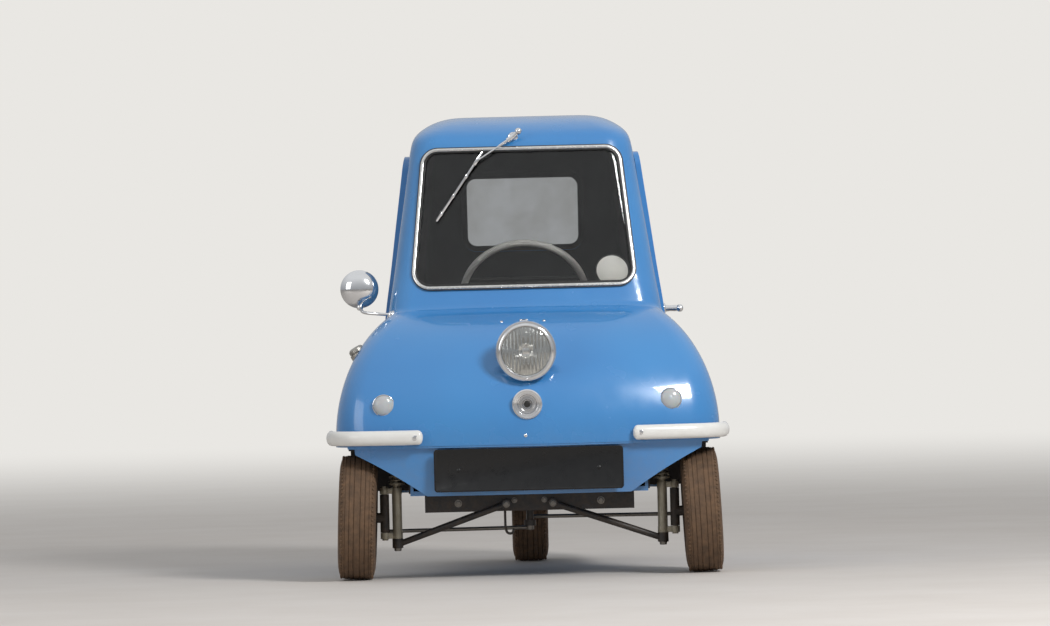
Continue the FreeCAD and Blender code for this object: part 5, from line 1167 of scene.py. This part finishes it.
def seal(name, node, ring, view, section, lift, body="root", side=1, finish="black_rubber", reach=6):
    """A strip swept round a pane. Its section is (half width, half height), and lift raises it.
    The height of each point is found on the node, reach mm nearer the pane's middle."""
    heading = Vector({"front": BACKWARD, "rear": FORWARD, "side": (-side, 0, 0)}[view])
    depth_only = Vector([abs(part) for part in heading])
    pane_middle = sum(ring, Vector((0, 0))) / len(ring)

    def in_view(point):
        return Vector((0, point.x, point.y)) if view == "side" else Vector((point.x, 0, point.y))

    path = []
    for point in ring:
        inner = in_view(point + (pane_middle - point).normalized() * reach)
        hit, normal = touch(node, inner - heading * 900, heading)
        path.append((in_view(point) * MM + hit * depth_only + normal * lift * MM, normal))
    bm = bmesh.new()
    loops = []
    for index, (point, normal) in enumerate(path):
        along = (path[(index + 1) % len(path)][0] - path[index - 1][0]).normalized()
        wide = along.cross(normal).normalized()
        axes = Matrix((wide * section[0] * MM, normal * section[1] * MM, along)).transposed()
        circle = bmesh.ops.create_circle(bm, segments=12, radius=1,
                                         matrix=Matrix.Translation(point) @ axes.to_4x4())
        loops.append(list({e for v in circle["verts"] for e in v.link_edges}))
    for index, loop in enumerate(loops):
        bmesh.ops.bridge_loops(bm, edges=loop + loops[(index + 1) % len(loops)])
    finish_piece(name, bm, finish, body, angle=60)


# half widths of the windscreen at its foot and its head, and their heights, in mm
FRAME_WIDTH, SCREEN_FOOT, SCREEN_HEAD, SCREEN_LOW, SCREEN_HIGH = 13, 297.5, 261.5, 742, 1114


def screen_ring(inset):
    """The windscreen's outline, moved in from the frame's outer edge."""
    foot, head = SCREEN_FOOT - inset, SCREEN_HEAD - inset
    low, high = SCREEN_LOW + inset, SCREEN_HIGH - inset
    return outline([(-foot, low), (foot, low), (head, high), (-head, high)], 48 - inset)


seal("screen_seal", "windscreen_glass", screen_ring(FRAME_WIDTH), "front", (3.4, 3.4), 0.5)
# the rear and side windows' corners: across or along, and up, in mm
rear_window = outline([(-152, 853), (152, 853), (152, 1037), (-152, 1037)], 27)
seal("rear_seal", "rear_window_glass", rear_window, "rear", (2.6, 2.6), 0.5)
side_window = outline([(-183.4, 700), (167, 700), (167, 1046), (-152.3, 1046)], 40)
seal("door_seal", "door_glass", side_window, "side", (4, 4), 1.5, "door", 1)
seal("panel_seal", "side_glass_right", side_window, "side", (4, 4), 1.5, "root", -1)

# %% [markdown]
# ## Gasket and bright bead
# The windscreen sits in a black rubber gasket with a bright bead pressed into its groove, so the
# frame reads as a thin line of metal with rubber on both sides. The gasket is the CAD frame,
# copied and merged. The bead is a half-oval strip swept along the middle of it.

# %% Gasket and bead
bm = merged_copy(nodes["windscreen_frame"].data)
finish_piece("screen_gasket", bm, "black_rubber", stands_for=("windscreen_frame",))
seal("screen_bead", "windscreen_frame", screen_ring(FRAME_WIDTH / 2), "front", (4.4, 2.6), 1.0,
     finish="polished_metal", reach=0)

# %% [markdown]
# ## Disc in the screen
# A blank white card disc sits in a dark round holder, close behind the windscreen's lower corner
# and parallel to the glass. Both are thin lathed shapes.

# %% Blank disc behind the screen
point, normal = touch_front("windscreen_glass", 230, 785)
bm = bmesh.new()
disc = facing(normal, point - normal * 6.5 * MM)
turned(bm, ((0, 0.4), (42.4, 0.4), (43, 0), (42.4, -0.4), (0, -0.4)), disc, 64)
finish_piece("screen_disc", bm, "white_card")
bm = bmesh.new()
turned(bm, ((41, 0.5), (43.4, 1.1), (44.6, 0.2), (43.4, -1.2), (41, -0.6), (41, 0.5)), disc, 64)
finish_piece("disc_holder", bm, "dark_trim")

# %% [markdown]
# ## Lining
# Inside, the glass-fibre is covered in a near-black felt lining, which is painted shade: it makes
# the cabin dark from the front. The lining is the inner skin of each panel, copied, welded and moved
# off it by its thickness. An inner face is one that faces the middle of the cabin.

# %% Lining
CABIN_Y = -60


def shade_lining(name, skin_mesh, body, thick_mm, low_mm, middle_z=(450, 900)):
    """The faces of a skin that look at the cabin's middle line, moved off it."""
    bm = merged_copy(skin_mesh)
    outer = []
    for face in bm.faces:
        centre = face.calc_center_median()
        height = min(max(centre.z, middle_z[0] * MM), middle_z[1] * MM)
        away = centre - Vector((0, CABIN_Y * MM, height))
        if face.normal.dot(away) > -0.25 * away.length or centre.z < low_mm * MM:
            outer.append(face)
    bmesh.ops.delete(bm, geom=outer, context="FACES")
    bm.normal_update()
    for vert in bm.verts:
        vert.co += vert.normal * thick_mm * MM
    finish_piece(name, bm, "felt_painted_shade", body)


SHELL_FOOT, TUB_FLOOR = 352, 225
# the linings are near-black felt, painted shade for the inside of the cabin
shade_lining("cab_shade_lining", skin.data, "root", 1.5, SHELL_FOOT)
shade_lining("door_shade_lining", nodes["door_panel"].data, "door", 1.2, SHELL_FOOT)
shade_lining("panel_shade_lining", nodes["side_panel_right"].data, "root", 1.2, SHELL_FOOT)
shade_lining("tub_shade_lining", nodes["floor_tub"].data, "root", 1.5, TUB_FLOOR, (300, 300))

# %% [markdown]
# ## Floor mat and dial
# A ribbed rubber mat covers the floor under the feet: a thin block, and one rib copied across it.
# On the dash shelf stands the one round dial, in a lathed pod with a bright bezel.

# %% Floor mat and dash
MAT_Y, RIB_PITCH, RIBS = -262, 9, 49
bm = bmesh.new()
block(bm, Vector((0, MAT_Y, 229.8)) * MM, Vector((470, 300, 3.4)) * MM, 1.2 * MM)
rib_bm = bmesh.new()
block(rib_bm, Vector((-222, MAT_Y, 231.6)) * MM, Vector((3, 284, 2)) * MM, 0.7 * MM, segments=1)
bmesh.ops.spin(rib_bm, geom=list(rib_bm.faces), cent=(0, 0, 0), axis=(0, 0, 1), angle=0,
               dvec=(RIB_PITCH * MM, 0, 0), steps=RIBS, use_duplicate=True)
finish_piece("floor_mat", bm, "black_rubber")
finish_piece("floor_mat_ribs", rib_bm, "black_rubber")
dash_low, dash_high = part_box("dash_shelf")
dial = facing(BACKWARD, (-110 * MM, dash_high[1] + 1 * MM, dash_low[2] + 54 * MM))
bm = bmesh.new()
pod = [(0, 3), (30, 3), (31, 6), (34, 7), (36, 4), (36, -34), (30, -44), (0, -46)]
turned(bm, pod, dial, 48)
finish_piece("dial_pod", bm, "dark_trim")
bm = bmesh.new()
turned(bm, ((30, 3), (31.5, 7), (34.5, 8.4), (37, 5.6), (37, 1), (36, 1), (30, 3)), dial, 48)
finish_piece("dial_bezel", bm, "chrome_trim")

# %% [markdown]
# ## Seat
# The cushion and backrest are foam slabs in sewn vinyl covers. The covers are blown up by a cloth
# simulation from a slightly smaller block, which crowns the faces and pulls the sides in between
# the corners. The movement is capped so that each pad stays in its own space. Piping and the sewn
# channels are laid on afterwards, because remeshing would erase them.

# %% Stuffed covers
PRESSURE, CLOTH_FRAMES, FILL = 4, 20, 0.75
# in mm: how much smaller the block starts, how far it may move, its remesh and its round edge
PAD_INSET, PAD_REACH, PAD_VOXEL, PAD_EDGE = 7, 8, 6, 12


def bake(obj):
    """Applies an object's modifiers to its mesh."""
    graph = bpy.context.evaluated_depsgraph_get()
    mesh = bpy.data.meshes.new_from_object(obj.evaluated_get(graph))
    obj.modifiers.clear()
    obj.data = mesh


def blow_up(obj):
    """Presses the cover outwards as cloth, and bakes it."""
    cloth = obj.modifiers.new("Cloth", "CLOTH")
    cloth.settings.use_pressure = True
    cloth.settings.uniform_pressure_force = PRESSURE
    cloth.settings.effector_weights.gravity = 0
    cloth.settings.quality = 5
    cloth.point_cache.frame_end = CLOTH_FRAMES
    for number in range(1, CLOTH_FRAMES + 1):
        bpy.context.scene.frame_set(number)
    bake(obj)
    bpy.context.scene.frame_set(1)


def stuffed(name, node, lean_deg=0.0):
    """A stuffed cover in the place of a pad. Gives the object, its centre, turn and half sizes."""
    low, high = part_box(node)
    centre = (Vector(low) + Vector(high)) / 2
    bm = merged_copy(nodes[node].data)
    turn = Matrix.Rotation(math.radians(lean_deg), 4, "X")
    bmesh.ops.translate(bm, vec=-centre, verts=bm.verts)
    bmesh.ops.transform(bm, matrix=turn, verts=bm.verts)
    size = [max(v.co[i] for v in bm.verts) - min(v.co[i] for v in bm.verts) for i in range(3)]
    bmesh.ops.scale(bm, vec=[(s - 2 * PAD_INSET * MM) / s for s in size], verts=bm.verts)
    bmesh.ops.bevel(bm, geom=list(bm.edges), offset=PAD_EDGE * MM, offset_type="OFFSET",
                    affect="EDGES", segments=3, profile=0.5, material=-1)
    mesh = bpy.data.meshes.new(name)
    bm.to_mesh(mesh)
    bm.free()
    obj = bpy.data.objects.new(name, mesh)
    bpy.context.scene.collection.objects.link(obj)
    remesh = obj.modifiers.new("Remesh", "REMESH")
    remesh.mode = "VOXEL"
    remesh.voxel_size = PAD_VOXEL * MM
    bake(obj)
    before = [v.co.copy() for v in obj.data.vertices]
    blow_up(obj)
    for vert, start in zip(obj.data.vertices, before):
        move = vert.co - start
        if move.length > PAD_REACH * MM:
            vert.co = start + move.normalized() * PAD_REACH * MM
    limits = [s / 2 - 0.4 * MM for s in size]
    for vert in obj.data.vertices:
        for i in range(3):
            vert.co[i] = min(max(vert.co[i], -limits[i]), limits[i])
    smooth = obj.modifiers.new("Subdivision", "SUBSURF")
    smooth.levels = smooth.render_levels = 1
    bake(obj)
    obj.data.transform(Matrix.Translation(centre) @ turn.inverted())
    obj.data.shade_smooth()
    obj.data.materials.clear()
    obj.data.materials.append(finishes["seat_vinyl"])
    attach(obj, "root")
    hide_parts(node)
    print(name, len(obj.data.polygons), "faces")
    return obj, centre, turn.inverted(), [s / 2 for s in size]


cushion = stuffed("cushion_cover", "seat_cushion")
backrest = stuffed("backrest_cover", "seat_back", lean_deg=12)

# %% [markdown]
# ## Piping, channels and stitches
# A cord in the same vinyl runs round the edge of each pad, and rows of stitches pull its face down
# into five channels. The channels are a soft dip pressed into the finished cover, deepest along
# each row, and the stitches are short rounded pegs copied along the row.

# %% Piping and sewn channels
def pad_point(cover, face_axis, u_value, v_value, level):
    """A point on a pad's face, from its own axes to the car's."""
    centre, turn = cover[1:3]
    at = [0, 0, 0]
    u, v = [axis for axis in range(3) if axis != face_axis]
    at[u], at[v], at[face_axis] = u_value, v_value, level
    return Matrix.Translation(centre) @ turn @ Vector(at)


PIPING_INSET, PIPING_RADIUS, PIPING_CORNER = 7 * MM, 3 * MM, 30 * MM


def piping(name, cover, face_axis, face_side):
    """A corded edge round a pad's face."""
    half = cover[3]
    u, v = [axis for axis in range(3) if axis != face_axis]
    wide, tall = half[u] - PIPING_INSET, half[v] - PIPING_INSET
    ring = outline([(-wide, -tall), (wide, -tall), (wide, tall), (-wide, tall)], PIPING_CORNER)
    level = face_side * (half[face_axis] - PIPING_INSET)
    points = [pad_point(cover, face_axis, point.x, point.y, level) for point in ring]
    bm = bmesh.new()
    bent_rod(bm, points + points[:2], PIPING_RADIUS, 4 * MM, 8)
    finish_piece(name, bm, "seat_vinyl")


ROWS, DIP, DIP_WIDTH, STITCH_PITCH, STITCH_THICK = 5, 5 * MM, 9 * MM, 6 * MM, 1.1 * MM
# the dips fade out over this much of a pad's ends, and the stitches stop as far from them
FADE, STITCH_END = 25 * MM, 24 * MM


def channels(name, cover, face_axis, face_side):
    """Rows of stitches across X that pull a dip into the pad's face."""
    obj, centre, turn, half = cover
    back = (Matrix.Translation(centre) @ turn).inverted()
    across = 3 - face_axis
    lines = [(-1 + 2 * (k + 1) / (ROWS + 1)) * half[across] for k in range(ROWS)]
    press = turn.to_3x3() @ Vector([-face_side if axis == face_axis else 0 for axis in range(3)])
    for vert in obj.data.vertices:
        local = back @ vert.co
        if local[face_axis] * face_side > half[face_axis] * 0.4:
            near = min(abs(local[across] - line) for line in lines)
            edge = max(0, min(1, (half[0] - abs(local[0])) / FADE))
            vert.co += press * DIP * edge * math.exp(-(near / DIP_WIDTH) ** 2)
    tree = BVHTree.FromPolygons([v.co for v in obj.data.vertices],
                                [p.vertices for p in obj.data.polygons])
    bm = bmesh.new()
    count = int((half[0] - STITCH_END) * 2 / STITCH_PITCH)
    for line in lines:
        for k in range(count):
            x = (k - (count - 1) / 2) * STITCH_PITCH
            start = pad_point(cover, face_axis, x, line, face_side * half[face_axis] * 1.5)
            hit = tree.ray_cast(start, press)[0]
            if hit:
                block(bm, hit, (STITCH_PITCH * 0.62, STITCH_THICK, STITCH_THICK), 0.3 * MM, turn,
                      segments=1)
    finish_piece(name, bm, "seat_thread")


piping("cushion_piping", cushion, 2, 1)
piping("backrest_piping", backrest, 1, -1)
channels("cushion_stitches", cushion, 2, 1)
channels("backrest_stitches", backrest, 1, -1)

# %% [markdown]
# ## Camera
# The photograph looks straight at the front from about twenty metres with a long lens, so the car
# shows almost without perspective. The lens follows from that distance and the scale of the
# picture, and the camera is rolled by the slope of the picture.

# %% Camera
PICTURE_WIDTH = 1050
PIXELS_A_METRE, DISTANCE = 389.0, 20.0
NOSE_Y, EYE_HEIGHT, VIEW_MIDDLE = -0.6, 0.85, 0.68
ROLL = math.radians(1.4)

camera = bpy.data.cameras.new("Camera")
camera.sensor_width = 36
camera.lens = PIXELS_A_METRE * DISTANCE / PICTURE_WIDTH * camera.sensor_width
camera.clip_end = 200
camera_obj = bpy.data.objects.new("Camera", camera)
bpy.context.scene.collection.objects.link(camera_obj)
eye = Vector((0, NOSE_Y - DISTANCE, EYE_HEIGHT))
look = Vector((0, NOSE_Y, VIEW_MIDDLE)) - eye
aim = look.to_track_quat("-Z", "Y").to_matrix().to_4x4()
camera_obj.matrix_world = Matrix.Translation(eye) @ aim @ Matrix.Rotation(-ROLL, 4, "Z")
bpy.context.scene.camera = camera_obj
print("lens", round(camera.lens, 1), "mm")

# %% [markdown]
# ## Floor and sky
# The floor is a wide disc of pale screed that turns into the background's colour far from the car,
# for the camera only. The camera sees the plain background, while glossy and clear surfaces see a
# sky that is grey at the horizon and pale overhead, which is what chrome and paint reflect.

# %% Floor and world
BACKGROUND = "E9E7E3"
# the floor's fade starts and ends this far from the car, and its radius, in metres
FADE_FROM, FADE_TO, FLOOR_RADIUS = 2.5, 14.0, 60


def pale_floor():
    """Pale screed that turns into the background's colour, for the camera, away from the car."""
    material, tree, shader, point = start_material("Pale screed", "D3CDC7", {"Roughness": 0.75})
    two_tone(tree, shader, point, 420, ("D6D0CA", "CFC8C1"), (0, 1), (0.3, 0.7), 5.0, 0.6)
    add_grain(tree, shader, point, 6, 0.4, 0.3)
    away = add_node(tree, "ShaderNodeVectorMath", {"operation": "LENGTH"}, {0: point}).outputs["Value"]
    far = add_node(tree, "ShaderNodeMapRange",
                   {1: FADE_FROM, 2: FADE_TO, "interpolation_type": "SMOOTHSTEP"},
                   {0: away}).outputs[0]
    seen = add_node(tree, "ShaderNodeLightPath").outputs["Is Camera Ray"]
    fade = add_node(tree, "ShaderNodeMath", {"operation": "MULTIPLY"}, {0: far, 1: seen}).outputs[0]
    plain = add_node(tree, "ShaderNodeEmission", {"Color": linear(BACKGROUND)})
    blend = add_node(tree, "ShaderNodeMixShader",
                     links={0: fade, 1: shader.outputs[0], 2: plain.outputs[0]})
    tree.links.new(blend.outputs[0], tree.nodes["Material Output"].inputs["Surface"])
    return material


bm = bmesh.new()
bmesh.ops.create_circle(bm, cap_ends=True, segments=96, radius=FLOOR_RADIUS)
floor_mesh = bpy.data.meshes.new("Floor")
bm.to_mesh(floor_mesh)
bm.free()
floor_mesh.materials.append(pale_floor())
floor = bpy.data.objects.new("Floor", floor_mesh)
bpy.context.scene.collection.objects.link(floor)
floor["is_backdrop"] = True

world = bpy.data.worlds.new("Studio")
world.use_nodes = True
bpy.context.scene.world = world
tree = world.node_tree
tree.nodes.clear()
up = add_node(tree, "ShaderNodeSeparateXYZ",
              links={0: add_node(tree, "ShaderNodeTexCoord").outputs["Generated"]}).outputs["Z"]
rise = add_node(tree, "ShaderNodeMapRange", {1: -0.05, 2: 0.75}, {0: up}).outputs[0]
sky = add_node(tree, "ShaderNodeMix", {"data_type": "RGBA", 6: linear("A3A6AB"),
                                       7: linear("F2F4F6")}, {0: rise}).outputs[2]
soft = add_node(tree, "ShaderNodeBackground", {"Strength": 0.5}, {"Color": sky})
shown = add_node(tree, "ShaderNodeBackground", {"Color": linear(BACKGROUND), "Strength": 1.0})
reflected = add_node(tree, "ShaderNodeBackground", {"Strength": 0.95}, {"Color": sky})
path = add_node(tree, "ShaderNodeLightPath")
mirrored = add_node(tree, "ShaderNodeMath", {"operation": "MAXIMUM"},
                    {0: path.outputs["Is Glossy Ray"], 1: path.outputs["Is Transmission Ray"]})
inner = add_node(tree, "ShaderNodeMixShader",
                 links={0: mirrored.outputs[0], 1: soft.outputs[0], 2: reflected.outputs[0]})
outer = add_node(tree, "ShaderNodeMixShader",
                 links={0: path.outputs["Is Camera Ray"], 1: inner.outputs[0], 2: shown.outputs[0]})
add_node(tree, "ShaderNodeOutputWorld", links={0: outer.outputs[0]})
bpy.context.scene.view_settings.view_transform = "Standard"
print("floor and world ready")

# %% [markdown]
# ## Lamps
# A large square lamp high on the right is the key, as the sun is in the photograph, so the
# headlamp throws its crescent of shadow to the left. It is large enough that the shadow stays
# soft. A weaker one on the left keeps that side from going dull.

# %% Key and fill
def area_lamp(name, at, size, power, target=(0, 0, 0.55)):
    """A square lamp in metres and watts, aimed at the car's middle."""
    data = bpy.data.lights.new(name, "AREA")
    data.shape = "SQUARE"
    data.size = size
    data.energy = power
    lamp = bpy.data.objects.new(name, data)
    bpy.context.scene.collection.objects.link(lamp)
    aim = (Vector(target) - Vector(at)).to_track_quat("-Z", "Y").to_matrix().to_4x4()
    lamp.matrix_world = Matrix.Translation(Vector(at)) @ aim


area_lamp("Key", (3.6, -5.2, 4.6), 1.6, 330)
area_lamp("Fill", (-5.0, -4.0, 2.4), 3.0, 60)
print("lamps ready")

# %% [markdown]
# ## Size of the dressed model
# The box of every shown piece but the floor is measured, and its size is printed. The dressed
# model must stay inside the CAD model's box.

# %% Measure the box
low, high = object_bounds()
print("visual box", tuple(high - low))
